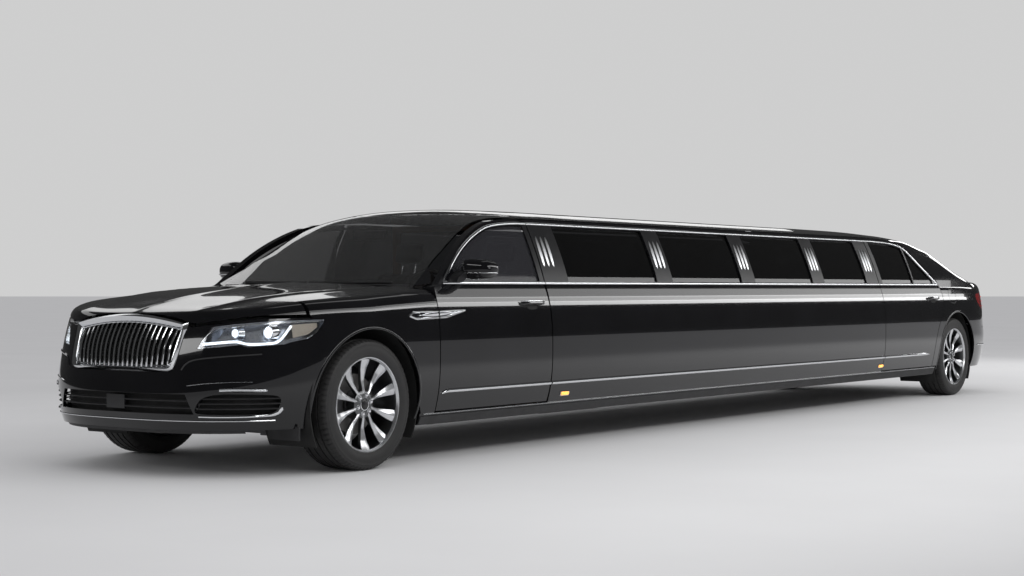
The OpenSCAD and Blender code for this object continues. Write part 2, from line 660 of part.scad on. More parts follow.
module rim() {
    color("#aeb3b8") rotate([0, 90, 0]) {
        rotate_extrude($fn = 96) polygon([[bead_r - 14, -bead_w - 12], [rim_d / 2, -bead_w - 12],
            [rim_d / 2, -bead_w - fit], [bead_r - fit, -bead_w - fit], [bead_r - fit, bead_w + fit],
            [rim_d / 2, bead_w + fit], [rim_d / 2, bead_w + 12], [bead_r - 14, bead_w + 12]]);
        for (i = [0:spokes - 1]) rotate([0, 0, 360 * i / spokes]) translate([0, 0, 62])
            linear_extrude(28) polygon([[hub_r - 20, -14], [bead_r - 8, -24], [bead_r - 8, 24], [hub_r - 20, 14]]);
        translate([0, 0, disc_x - 2]) cylinder(h = 84 - disc_x, r = hub_r);
        translate([0, 0, disc_x - 28]) cylinder(h = 28, r = disc_d / 2);
    }
}
module wheel_at(y) {
    translate([wheel_x, y, wheel_r]) children();
}

// Front knuckle with its brake caliper, on the steering axis inboard of the wheel
steer_in = 58; // steering axis inboard of the wheel's centre plane
steer_x = wheel_x - steer_in;
caliper_r = disc_d / 2 + 12;
module knuckle() {
    translate([-steer_in, 0, -150]) cylinder(h = 330, r = 24);
    translate([-steer_in, 0, 0]) rotate([0, 90, 0]) cylinder(h = steer_in + disc_x - 28 - 0.5, r = 58);
    translate([-steer_in - 8, 40, -16]) cube([16, 110, 32]);
    difference() {
        translate([disc_x - 60, -caliper_r - 6, -70]) cube([74, 76, 140]);
        translate([disc_x - 32, 0, 0]) rotate([0, 90, 0]) cylinder(h = 36, r = disc_d / 2 + 4);
        rotate([0, 90, 0]) cylinder(h = 200, r = 62, center = true);
    }
    translate([-steer_in, -caliper_r + 50, -22]) cube([22, caliper_r - 60, 44]);
}
module left_front_knuckle() {
    color("#5c6066") wheel_at(0) knuckle();
}

// Subframe with the lower arms and struts that carry the knuckles
strut_x = 560;
arm_w = 28; // half width of the arms
module arm(z) {
    box([425, -arm_w, z], [steer_x - 10, arm_w, z + 22]);
    translate([steer_x, 0, z]) cylinder(h = 22, r = 26);
}
module front_subframe() {
    color("#2b2d30") {
        box([-430, -260, 190], [430, -180, 250]);
        box([-430, 180, 190], [430, 260, 250]);
        both_sides() {
            box([370, -262, min(188, wheel_r - 173)], [430, 262, 252]);
            arm(wheel_r - 150 - 22.5);
            arm(wheel_r + 180.5);
            box([390, -745, 470], [450, 600 - fit, 560]);
            translate([strut_x, 0, 190]) cylinder(h = 660, r = 26);
            box([395, -60, 559], [448, 60, 862]);
            box([445, -60, 836], [strut_x + 40, 60, 862]);
            box([380, 150, 250], [428, 220, 475]);
        }
        difference() {
            box([-480, -800, 350], [480, -740, 500]);
            translate([front_tow[0], -770, front_tow[1]]) rotate([90, 0, 0]) cylinder(h = 80, r = tow_r,
                center = true);
        }
    }
}
tow_hole_r = 16; // hole in the bumper in front of a towing socket
front_tow = [330, 390]; // places of the towing sockets across and above the ground
rear_tow = [-380, 480];
tow_r = 11; // towing-eye sockets
module engine_block() {
    color("#3a3c40") box([-330, -330, 250 + fit], [330, 240, 820]);
}
// Rear subframe, hub carriers, half shafts and calipers
module rear_axle() {
    color("#2b2d30") translate([0, wheelbase, wheel_r]) {
        box([-480, -230, -90], [480, -160, -20]);
        box([-480, 160, -90], [480, 230, -20]);
        box([-130, -170, -110], [130, 170, 110]);
        both_sides() {
            box([410, -232, -92], [480, 232, -18]);
            for (y = [-225, 165]) box([420, y, -19], [468, y + 60, 400 - wheel_r - fit]);
            translate([120, 0, 0]) rotate([0, 90, 0]) cylinder(h = wheel_x - 120 - 28 + disc_x - 0.5, r = 26);
            box([470, -200, -88], [wheel_x - 90, -150, -40]);
            box([wheel_x - 110, -200, -88], [wheel_x - 60, 60, -40]);
            translate([wheel_x, 0, 0]) difference() {
                union() {
                    translate([-70, 0, 0]) rotate([0, 90, 0]) cylinder(h = 42 + disc_x - 0.5, r = 60);
                    translate([disc_x - 60, -caliper_r - 6, -60]) cube([74, 70, 120]);
                    translate([-110, -120, -86]) cube([60, 120, 80]);
                    translate([-64, -caliper_r + 30, -40]) cube([30, caliper_r - 20, 40]);
                }
                translate([disc_x - 32, 0, 0]) rotate([0, 90, 0]) cylinder(h = 36, r = disc_d / 2 + 4);
            }
        }
    }
}
pipe_z = floor_z - floor_t - 50 - fit; // pipes hang under the floor by their silencers
module pipe(x, y0, y1, z, r) {
    translate([x, y0, z]) rotate([-90, 0, 0]) cylinder(h = y1 - y0, r = r);
}
module exhaust_system() {
    color("#6d7175") {
        both_sides() {
            pipe(180, 300, wheelbase + 545, pipe_z, 28);
            pipe(180, 2600, 3300, pipe_z, 50);
            pipe(440, wheelbase + 575, tail_y - 60, pipe_z + 35, 26);
        }
        translate([-490, wheelbase + 560, pipe_z + 30]) rotate([0, 90, 0]) cylinder(h = 980, r = 58);
    }
}

// Floor with sills, firewall, cowl, hinge pillars, trunk floor and rails
in_x = half_w - wall_t - 70; // inner face of the sides at floor level
module floor_pan() {
    color("#1d1e20") difference() {
        union() {
            box([-in_x, 600, floor_z - floor_t], [in_x, wheelbase - 500, floor_z]);
            both_sides() box([in_x - 60, 640, floor_z - floor_t - 20], [low_side(sill_z) - wall_t - fit,
                wheelbase - 500, floor_z]);
            box([-in_x, 600, floor_z - 1], [in_x, 640, 905]);
            intersection() {
                box([-790, 380, 880], [790, 640, glass_low - fit]);
                behind_hood(12);
            }
            both_sides() {
                box([790, 500, door_z], [hinge_x - 54, front_door_y - shut_gap, 890]);
                hinge_arms(front_door_y, shut_gap + 2);
                box([jack_x - 30, 900, sill_z - 12], [jack_x + 30, 960, floor_z - floor_t]);
                box([jack_x - 30, wheelbase - 960, sill_z - 12], [jack_x + 30, wheelbase - 900, floor_z - floor_t]);
                box([400, wheelbase - 312, 400], [470, wheelbase + 962, 561]);
                box([lid_lug_x - 15, wheelbase + 500, 989], [lid_lug_x - 0.5, lid_pin_y, 1035]);
            }
            box([-610, wheelbase - 501, floor_z - floor_t], [610, wheelbase - 310, floor_z]);
            box([-610, wheelbase - 340, floor_z - 1], [610, wheelbase - 310, 590]);
            box([-610, wheelbase - 311, 560], [610, wheelbase + 961, 590]);
            box([-650, wheelbase - 290, 588], [650, wheelbase - 260, 990]);
            box([-shelf_w + fit, wheelbase - 261, 965], [shelf_w - fit, wheelbase + 540, 990]);
            box([-520, wheelbase + 960, 430], [520, wheelbase + 1020, 592]);
        }
        translate([rear_tow[0], wheelbase + 990, rear_tow[1]]) rotate([90, 0, 0]) cylinder(h = 80, r = tow_r,
            center = true);
        both_sides() box([hood_lug_x - 0.5, 370, 870], [hood_lug_x + 12.5, hood_pin_y + 21, 1000]);
    }
}
jack_x = 700; // jacking pads from the middle

// Rounded bar outline, w by h with corners of radius r
function rounded(w, h, r, n = 4) = [for (c = [[w - r, h - r, 0], [r, h - r, 90], [r, r, 180], [w - r, r, 270]],
    i = [0:n]) [c[0] + r * cos(c[2] + 90 * i / n), c[1] + r * sin(c[2] + 90 * i / n)]];
// Pad lying along X: w long, d deep and h high
module pad(w, d, h, r) {
    rotate([90, 0, 90]) linear_extrude(w) polygon(rounded(d, h, r));
}
seat_y = 1230; // front edge of the front cushions
module front_seats() {
    color("#2a2623") both_sides() translate([110, seat_y, 0]) {
        translate([60, 60, floor_z]) cube([seat_w - 120, 400, cushion_z - 150 - floor_z + 1]);
        translate([0, 0, cushion_z - 150]) pad(seat_w, 520, 150, 50);
        translate([10, 430, cushion_z - 20]) rotate([-14, 0, 0]) {
            pad(seat_w - 20, 130, 640, 50);
            translate([140, 10, 665]) pad(seat_w - 300, 90, 150, 36);
            for (x = [200, seat_w - 220]) translate([x, 60, 600]) cylinder(h = 80, r = 7);
        }
    }
}
couch_y0 = 2250;
couch_y1 = 6150;
bench_y = wheelbase - 1040; // front edge of the rear bench
module lounge_seats() {
    color("#2a2623") {
        translate([-in_x + 4, couch_y0, floor_z]) cube([couch_d, couch_y1 - couch_y0, cushion_z - 150 - floor_z]);
        translate([-in_x + 2, couch_y1, cushion_z - 151]) rotate([0, 0, -90]) pad(couch_y1 - couch_y0, couch_d + 20,
            130, 40);
        translate([-in_x + 2, couch_y1, cushion_z - 30]) rotate([0, 0, -90]) pad(couch_y1 - couch_y0, 130, 480, 40);
        translate([-650, bench_y, floor_z]) cube([1300, 240, cushion_z - 150 - floor_z]);
        translate([-690, bench_y - 20, cushion_z - 151]) pad(1380, 560, 150, 50);
        translate([-690, bench_y + 440, cushion_z - 20]) rotate([-16, 0, 0]) pad(1380, 130, 560, 50);
    }
}
partition_y = 2030;
module bar_and_partition() {
    color("#34281f") {
        box([-in_x + 4, partition_y, floor_z], [in_x - 4, partition_y + 40, 1010]);
        box([in_x - 330, 2500, floor_z], [in_x - 4, 5600, 840]);
        box([in_x - 350, 2480, 838], [in_x - 2, 5620, 870]);
        both_sides() box([600, partition_y, 1008], [640, partition_y + 40, 1400]);
        box([-640, partition_y, 1360], [640, partition_y + 40, 1400]);
    }
}
module dashboard() {
    color("#1b1b1d") {
        translate([-in_x + 6, 640 + fit, 640]) pad(2 * in_x - 12, 330, 330, 60);
        box([-150, 900, floor_z], [150, 1180, 640]);
        box([-130, 900, 600], [130, 1000, 700]);
    }
}
wheel_tilt = 24;
module steering_wheel() {
    color("#1b1b1d") translate([380, 1120, 905]) rotate([90 - wheel_tilt, 0, 0]) {
        rotate_extrude($fn = 48) translate([steering_d / 2, 0]) circle(15, $fn = 20);
        translate([0, 0, -10]) cylinder(h = 30, r = 70);
        for (a = [0, 120, 240]) rotate([0, 0, a + 90]) translate([30, -14, -6]) cube([steering_d / 2 - 32, 28, 14]);
        translate([0, 0, 15]) cylinder(h = 153, r = 28);
    }
}

module right() {
    mirror([1, 0, 0]) children();
}
placed() {
    floor_pan();
    front_subframe();
    engine_block();
    rear_axle();
    exhaust_system();
    front_bumper();
    grille();
    headlamps();
    front_fenders();
    windshield();
    roof();
    left_body_side();
    right() left_body_side();  // right_body_side
    side_glass();
    rear_quarters();
    rear_window();
    rear_bumper();
    tail_lamps();
    dashboard();
    steering_wheel();
    front_seats();
    lounge_seats();
    bar_and_partition();
    hood();
    trunk_lid();
    left_front_door();
    left_front_door_glass();
    left_mirror();
    right() left_front_door();  // right_front_door
    right() left_front_door_glass();  // right_front_door_glass
    right() left_mirror();  // right_mirror
    left_rear_door();
    left_rear_door_glass();
    right() left_rear_door();  // right_rear_door
    right() left_rear_door_glass();  // right_rear_door_glass
    left_front_knuckle();
    right() left_front_knuckle();  // right_front_knuckle
    wheel_at(0) tyre();  // left_front_tyre
    wheel_at(0) rim();  // left_front_rim
    right() wheel_at(0) tyre();  // right_front_tyre
    right() wheel_at(0) rim();  // right_front_rim
    wheel_at(wheelbase) tyre();  // left_rear_tyre
    wheel_at(wheelbase) rim();  // left_rear_rim
    right() wheel_at(wheelbase) tyre();  // right_rear_tyre
    right() wheel_at(wheelbase) rim();  // right_rear_rim
}
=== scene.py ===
"""Looks of a black stretch limousine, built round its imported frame.

Lengths of the body's own shape are in millimetres from the front axle, as a body drawing gives
them: x to the vehicle's left, y backwards, z above the ground. to_frame() turns them into the frame.
"""

import logging
import math
from collections.abc import Callable, Iterable, Sequence
from dataclasses import dataclass
from enum import Enum

import bmesh
import bpy
import numpy as np
from mathutils import Matrix, Vector


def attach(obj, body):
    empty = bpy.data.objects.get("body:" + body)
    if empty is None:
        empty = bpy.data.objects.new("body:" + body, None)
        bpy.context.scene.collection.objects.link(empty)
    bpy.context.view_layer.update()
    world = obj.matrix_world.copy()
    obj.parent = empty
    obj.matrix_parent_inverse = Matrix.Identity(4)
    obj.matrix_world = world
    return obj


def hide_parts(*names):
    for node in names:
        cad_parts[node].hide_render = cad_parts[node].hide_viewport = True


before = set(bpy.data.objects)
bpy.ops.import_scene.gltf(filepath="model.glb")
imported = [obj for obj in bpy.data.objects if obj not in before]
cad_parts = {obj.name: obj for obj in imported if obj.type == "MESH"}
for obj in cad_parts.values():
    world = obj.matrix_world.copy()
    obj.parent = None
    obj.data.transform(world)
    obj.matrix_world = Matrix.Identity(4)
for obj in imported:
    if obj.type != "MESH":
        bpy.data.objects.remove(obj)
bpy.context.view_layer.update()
log = logging.getLogger("limousine")
logging.basicConfig(level=logging.INFO, format="%(message)s")

Point = tuple[float, float, float]
Flat = tuple[float, float]


# ---------------------------------------------------------------- shader maths
class Value:
    """A shader socket that takes part in sums, differences and products."""

    def __init__(self, maker: "Shader", socket: bpy.types.NodeSocket) -> None:
        """Wraps the socket of one material's tree."""
        self.maker = maker
        self.socket = socket

    def _sum(self, operation: str, other: "Value | float", swap: bool = False) -> "Value":
        """Adds one Math node for an expression of two values."""
        pair = (other, self) if swap else (self, other)
        return self.maker.value("ShaderNodeMath", {"operation": operation}, {0: pair[0], 1: pair[1]})

    def __add__(self, other: "Value | float") -> "Value":
        """Sum of two values."""
        return self._sum("ADD", other)

    def __sub__(self, other: "Value | float") -> "Value":
        """Difference of two values."""
        return self._sum("SUBTRACT", other)

    def __rsub__(self, other: float) -> "Value":
        """A number less this value."""
        return self._sum("SUBTRACT", other, swap=True)

    def __mul__(self, other: "Value | float") -> "Value":
        """Product of two values."""
        return self._sum("MULTIPLY", other)

    __radd__ = __add__
    __rmul__ = __mul__

    def clear_of(self, limit: float) -> "Value":
        """1 where the value is over the limit, else 0."""
        return self._sum("GREATER_THAN", limit)

    def power(self, exponent: float) -> "Value":
        """The value raised to an exponent."""
        return self._sum("POWER", exponent)


Input = "Value | float | tuple[float, ...]"


class Shader:
    """Builds one material's node tree round a Principled shader."""

    def __init__(self, name: str) -> None:
        """Starts an empty tree with its output."""
        self.material = bpy.data.materials.new(name)
        self.material.use_nodes = True
        self.tree = self.material.node_tree
        self.tree.nodes.clear()
        self.output = self.tree.nodes.new("ShaderNodeOutputMaterial")

    def node(self, kind: str, settings: dict[str, object] | None = None,
             sockets: dict[object, object] | None = None) -> bpy.types.Node:
        """Adds a node, sets its settings first and then its sockets.

        Args:
            kind: the node's type name.
            settings: its attributes; "stops" holds a ramp's positions and colours.
            sockets: values or links of its inputs, by name or place.

        Returns:
            The new node.
        """
        made = self.tree.nodes.new(kind)
        for key, setting in (settings or {}).items():
            if key == "stops":
                ramp = made.color_ramp.elements
                while len(ramp) < len(setting):
                    ramp.new(0.5)
                for stop, (position, shade) in zip(ramp, setting):
                    stop.position = position
                    stop.color = (shade, shade, shade, 1) if isinstance(shade, float) else (*shade, 1)
            else:
                setattr(made, key, setting)
        for key, given in (sockets or {}).items():
            socket = made.inputs[key]
            if isinstance(given, Value):
                self.tree.links.new(given.socket, socket)
            elif isinstance(given, tuple) and len(given) == 3 and socket.type == "RGBA":
                socket.default_value = (*given, 1)
            else:
                socket.default_value = given
        return made

    def value(self, kind: str, settings: dict[str, object] | None = None,
              sockets: dict[object, object] | None = None, out: object = 0) -> Value:
        """Adds a node and gives one of its outputs."""
        return Value(self, self.node(kind, settings, sockets).outputs[out])

    def place(self, scale: Point = (1, 1, 1), turn: Point = (0, 0, 0)) -> Value:
        """Object coordinates, scaled and turned."""
        here = self.value("ShaderNodeTexCoord", out="Object")
        return self.value("ShaderNodeMapping", None, {"Vector": here, "Scale": scale, "Rotation": turn})

    def noise(self, scale: float, detail: float = 2.0, at: Value | None = None) -> Value:
        """Smooth noise of so many grains to the metre, about 0.5."""
        return self.value("ShaderNodeTexNoise", None,
                          {"Vector": at or self.place(), "Scale": scale, "Detail": detail}, "Fac")

    def ramp(self, fac: Value, *stops: tuple[float, object]) -> Value:
        """A colour ramp over a value."""
        return self.value("ShaderNodeValToRGB", {"stops": stops}, {"Fac": fac}, "Color")

    def mix(self, fac: Value | float, low: object, high: object) -> Value:
        """Mixes two colours."""
        return self.value("ShaderNodeMix", {"data_type": "RGBA"}, {0: fac, 6: low, 7: high}, 2)

    def bump(self, height: Value, depth: float, strength: float = 1.0) -> Value:
        """A normal raised by a height pattern of that depth in metres."""
        return self.value("ShaderNodeBump", None,
                          {"Height": height, "Distance": depth, "Strength": strength}, "Normal")

    def principled(self, **sockets: object) -> bpy.types.Material:
        """Adds the Principled shader and returns the finished material.

        Args:
            sockets: its inputs, with underscores for the spaces of their names.
        """
        named = {key.replace("_", " "): given for key, given in sockets.items()}
        shader = self.node("ShaderNodeBsdfPrincipled", None, named)
        self.tree.links.new(shader.outputs[0], self.output.inputs[0])
        return self.material


@dataclass(frozen=True)
class Paint:
    """Gloss paint under clear lacquer, with a trace of orange peel and fine dust."""

    name: str = "gloss_black_paint"
    colour: Point = (0.0035, 0.0035, 0.0042)
    flake: float = 0.0

    def make(self) -> bpy.types.Material:
        """The paint's material."""
        s = Shader(self.name)
        peel = s.noise(420, 1.0)
        dust = s.noise(2.4, 5.0)
        tone = s.mix(s.ramp(dust, (0.35, 0.0), (0.75, 1.0)), self.colour, tuple(c * 1.5 + 0.001 for c in self.colour))
        return s.principled(Base_Color=tone, Roughness=s.noise(6.0, 4.0) * 0.05 + 0.06, Coat_Weight=1.0,
                            Coat_Roughness=0.015, Coat_IOR=1.5, Specular_IOR_Level=0.1,
                            Normal=s.bump(peel, 0.00006, 0.5))


@dataclass(frozen=True)
class Metal:
    """Bare or plated metal, with streaks along its length where it is brushed."""

    name: str
    colour: Point
    rough: float
    streak: float = 0.03
    grain: Point = (60.0, 60.0, 60.0)

    def make(self) -> bpy.types.Material:
        """The metal's material."""
        s = Shader(self.name)
        grain = s.noise(1.0, 3.0, s.place(self.grain))
        cloud = s.noise(9.0, 3.0)
        tone = s.mix(cloud, tuple(c * 0.86 for c in self.colour), self.colour)
        return s.principled(Base_Color=tone, Metallic=1.0,
                            Roughness=grain * self.streak * 2 + (self.rough - self.streak),
                            Normal=s.bump(grain, 0.00004, 0.4))


@dataclass(frozen=True)
class Moulded:
    """Grained or smooth moulded plastic or rubber."""

    name: str
    colour: Point
    rough: float
    grain: float = 900.0
    depth: float = 0.00012
    wear: float = 0.35

    def make(self) -> bpy.types.Material:
        """The moulding's material."""
        s = Shader(self.name)
        cells = s.value("ShaderNodeTexVoronoi", None, {"Vector": s.place(), "Scale": self.grain}, "Distance")
        scuff = s.ramp(s.noise(14.0, 6.0), (0.45, 0.0), (0.8, 1.0))
        tone = s.mix(scuff, self.colour, tuple(c * (1 + self.wear) + 0.004 for c in self.colour))
        return s.principled(Base_Color=tone, Roughness=s.noise(30.0, 3.0) * 0.12 + (self.rough - 0.06),
                            Normal=s.bump(cells, self.depth, 0.6))


@dataclass(frozen=True)
class Glazing:
    """Car glass of a given tint, clean but for a trace of haze."""

    name: str
    tint: Point

    def make(self) -> bpy.types.Material:
        """The glass's material."""
        s = Shader(self.name)
        haze = s.ramp(s.noise(3.0, 5.0), (0.5, 0.0), (0.9, 0.025))
        return s.principled(Base_Color=self.tint, Roughness=haze, IOR=1.45, Transmission_Weight=1.0,
                            Coat_Weight=0.4, Coat_Roughness=0.0)


@dataclass(frozen=True)
class Lit:
    """A lamp face that shines, brighter towards the middle of its cells."""

    name: str
    colour: Point
    strength: float
    cells: float = 90.0

    def make(self) -> bpy.types.Material:
        """The lamp's material."""
        s = Shader(self.name)
        cell = s.value("ShaderNodeTexVoronoi", None, {"Vector": s.place(), "Scale": self.cells}, "Distance")
        glow = s.mix(s.ramp(cell, (0.0, 1.0), (0.9, 0.45)), (0.0, 0.0, 0.0), self.colour)
        return s.principled(Base_Color=self.colour, Roughness=0.2, Emission_Color=glow,
                            Emission_Strength=self.strength)


@dataclass(frozen=True)
class LampLens:
    """Coloured lamp glass with fine optic ribs inside."""

    name: str
    colour: Point
    ribs: float = 320.0
    through: float = 0.25

    def make(self) -> bpy.types.Material:
        """The lens's material."""
        s = Shader(self.name)
        rib = s.value("ShaderNodeTexWave", {"wave_type": "BANDS", "bands_direction": "Z"},
                      {"Vector": s.place(), "Scale": self.ribs / 6.0, "Distortion": 0.0}, "Fac")
        tone = s.mix(rib, tuple(c * 0.45 for c in self.colour), self.colour)
        return s.principled(Base_Color=tone, Roughness=0.08, Transmission_Weight=self.through, IOR=1.49,
                            Coat_Weight=1.0, Coat_Roughness=0.02, Normal=s.bump(rib, 0.0004, 0.3))


@dataclass(frozen=True)
class Hide:
    """Leather with pores, soft creases and rubbed high places."""

    name: str
    colour: Point

    def make(self) -> bpy.types.Material:
        """The leather's material."""
        s = Shader(self.name)
        pores = s.value("ShaderNodeTexVoronoi", {"feature": "DISTANCE_TO_EDGE"},
                        {"Vector": s.place(), "Scale": 620.0}, "Distance")
        creases = s.noise(16.0, 6.0)
        tone = s.mix(s.ramp(creases, (0.4, 0.0), (0.7, 1.0)), tuple(c * 0.7 for c in self.colour), self.colour)
        return s.principled(Base_Color=tone, Roughness=creases * 0.2 + 0.34, Sheen_Weight=0.1,
                            Normal=s.bump(pores * 0.7 + creases * 0.6, 0.0006, 0.5))


@dataclass(frozen=True)
class Veneer:
    """Lacquered wood with long grain."""

    name: str
    colour: Point

    def make(self) -> bpy.types.Material:
        """The wood's material."""
        s = Shader(self.name)
        grain = s.value("ShaderNodeTexWave", {"wave_type": "BANDS", "bands_direction": "X"},
                        {"Vector": s.place((1.0, 0.12, 1.0)), "Scale": 14.0, "Distortion": 7.0, "Detail": 4.0}, "Fac")
        tone = s.mix(grain, tuple(c * 0.4 for c in self.colour), self.colour)
        return s.principled(Base_Color=tone, Roughness=0.3, Coat_Weight=0.8, Coat_Roughness=0.06,
                            Normal=s.bump(grain, 0.0002, 0.3))


@dataclass(frozen=True)
class Carpet:
    """Short cut pile or sprayed sound-deadening."""

    name: str
    colour: Point
    rough: float = 0.92

    def make(self) -> bpy.types.Material:
        """The pile's material."""
        s = Shader(self.name)
        pile = s.noise(1400.0, 3.0)
        tone = s.mix(pile, tuple(c * 0.5 for c in self.colour), tuple(c * 1.4 for c in self.colour))
        return s.principled(Base_Color=tone, Roughness=self.rough, Normal=s.bump(pile, 0.0012, 0.8))


@dataclass(frozen=True)
class TyreRubber:
    """Tyre rubber: matt tread, smoother sidewall with fine rings about its own axle."""

    name: str
    axle: Point

    def make(self) -> bpy.types.Material:
        """The rubber's material."""
        s = Shader(self.name)
        spot = s.value("ShaderNodeTexCoord", out="Object")
        flat = s.value("ShaderNodeVectorMath", {"operation": "MULTIPLY"}, {0: s.value(
            "ShaderNodeVectorMath", {"operation": "SUBTRACT"}, {0: spot, 1: self.axle}), 1: (0, 1, 1)})
        away = s.value("ShaderNodeVectorMath", {"operation": "LENGTH"}, {0: flat}, "Value")
        rings = s.value("ShaderNodeMath", {"operation": "SINE"}, {0: away * 1800.0})
        wall = 1 - away.clear_of(0.338)
        dirt = s.noise(22.0, 6.0)
        tone = s.mix(dirt, (0.010, 0.010, 0.011), (0.026, 0.025, 0.024))
        return s.principled(Base_Color=tone, Roughness=dirt * 0.2 + 0.55 - wall * 0.08,
                            Normal=s.bump(rings * wall * 0.4 + s.noise(900.0, 2.0) * 0.5, 0.0004, 0.6))


class Finish(Enum):
    """Every finish on the car."""

    PAINT = Paint()
    CHROME = Metal("bright_trim", (0.78, 0.79, 0.81), 0.07, 0.02)
    DARK_CHROME = Metal("lamp_reflector", (0.42, 0.44, 0.48), 0.16)
    MACHINED = Metal("machined_wheel_face", (0.80, 0.81, 0.83), 0.30, 0.07, (20.0, 260.0, 260.0))
    WHEEL_GREY = Metal("painted_wheel_side", (0.20, 0.205, 0.21), 0.34)
    DISC = Metal("brake_disc", (0.20, 0.195, 0.19), 0.36, 0.1, (10.0, 500.0, 500.0))
    STEEL = Metal("exhaust_steel", (0.36, 0.35, 0.34), 0.38, 0.12)
    CAST = Metal("cast_iron", (0.16, 0.16, 0.165), 0.55, 0.15, (300.0, 300.0, 300.0))
    SATIN = Moulded("satin_black_pillar", (0.008, 0.008, 0.009), 0.32, 300.0, 0.000004, 0.2)
    PLASTIC = Moulded("grained_black_plastic", (0.018, 0.018, 0.019), 0.56)
    LINER = Moulded("wheelhouse_liner", (0.012, 0.012, 0.012), 0.82, 500.0, 0.0006)
    UNDERBODY = Carpet("underbody_coating", (0.022, 0.022, 0.023), 0.85)
    CARPET = Carpet("cabin_carpet", (0.035, 0.033, 0.032))
    CAP = Moulded("engine_cover", (0.03, 0.03, 0.032), 0.5)
    CLEAR = Glazing("windshield_glass", (0.42, 0.425, 0.43))
    TINT = Glazing("tinted_glass", (0.16, 0.165, 0.17))
    DARK = Glazing("privacy_glass", (0.035, 0.036, 0.038))
    LENS = Glazing("lamp_lens", (0.96, 0.97, 0.98))
    RED = LampLens("tail_lamp_red", (0.42, 0.006, 0.008))
    AMBER = LampLens("marker_amber", (0.85, 0.26, 0.02))
    WHITE_LIGHT = Lit("headlamp_light", (0.86, 0.93, 1.0), 2.2)
    AMBER_LIGHT = Lit("marker_light", (1.0, 0.42, 0.08), 2.0)
    RED_LIGHT = Lit("tail_light", (0.9, 0.02, 0.02), 0.5)
    MARKER_WHITE = LampLens("marker_pearl", (0.86, 0.74, 0.58), 900.0, 0.1)
    HIDE = Hide("black_leather", (0.045, 0.040, 0.038))
    WALNUT = Veneer("walnut", (0.16, 0.075, 0.035))
    TRIM_HIDE = Hide("door_trim_leather", (0.05, 0.046, 0.044))

    def material(self) -> bpy.types.Material:
        """The finish's material, made once."""
        return bpy.data.materials.get(self.value.name) or self.value.make()


# ---------------------------------------------------------------- the body's form
@dataclass(frozen=True)
class Knots:
    """A smooth curve through (place, value) knots."""

    points: tuple[Flat, ...]

    def __call__(self, at: "np.ndarray | float") -> np.ndarray:
        """The curve's value at one or many places."""
        p = np.array(self.points, float)
        n = len(p)
        slope = np.array([(p[min(i + 1, n - 1), 1] - p[max(i - 1, 0), 1])
                          / (p[min(i + 1, n - 1), 0] - p[max(i - 1, 0), 0]) for i in range(n)])
        t = np.clip(np.asarray(at, float), p[0, 0], p[-1, 0])
        i = np.clip(np.searchsorted(p[:, 0], t, side="right") - 1, 0, n - 2)
        h = p[i + 1, 0] - p[i, 0]
        u = (t - p[i, 0]) / h
        return (p[i, 1] * (1 + 2 * u) * (1 - u) ** 2 + slope[i] * h * u * (1 - u) ** 2
                + p[i + 1, 1] * u * u * (3 - 2 * u) - slope[i + 1] * h * u * u * (1 - u))


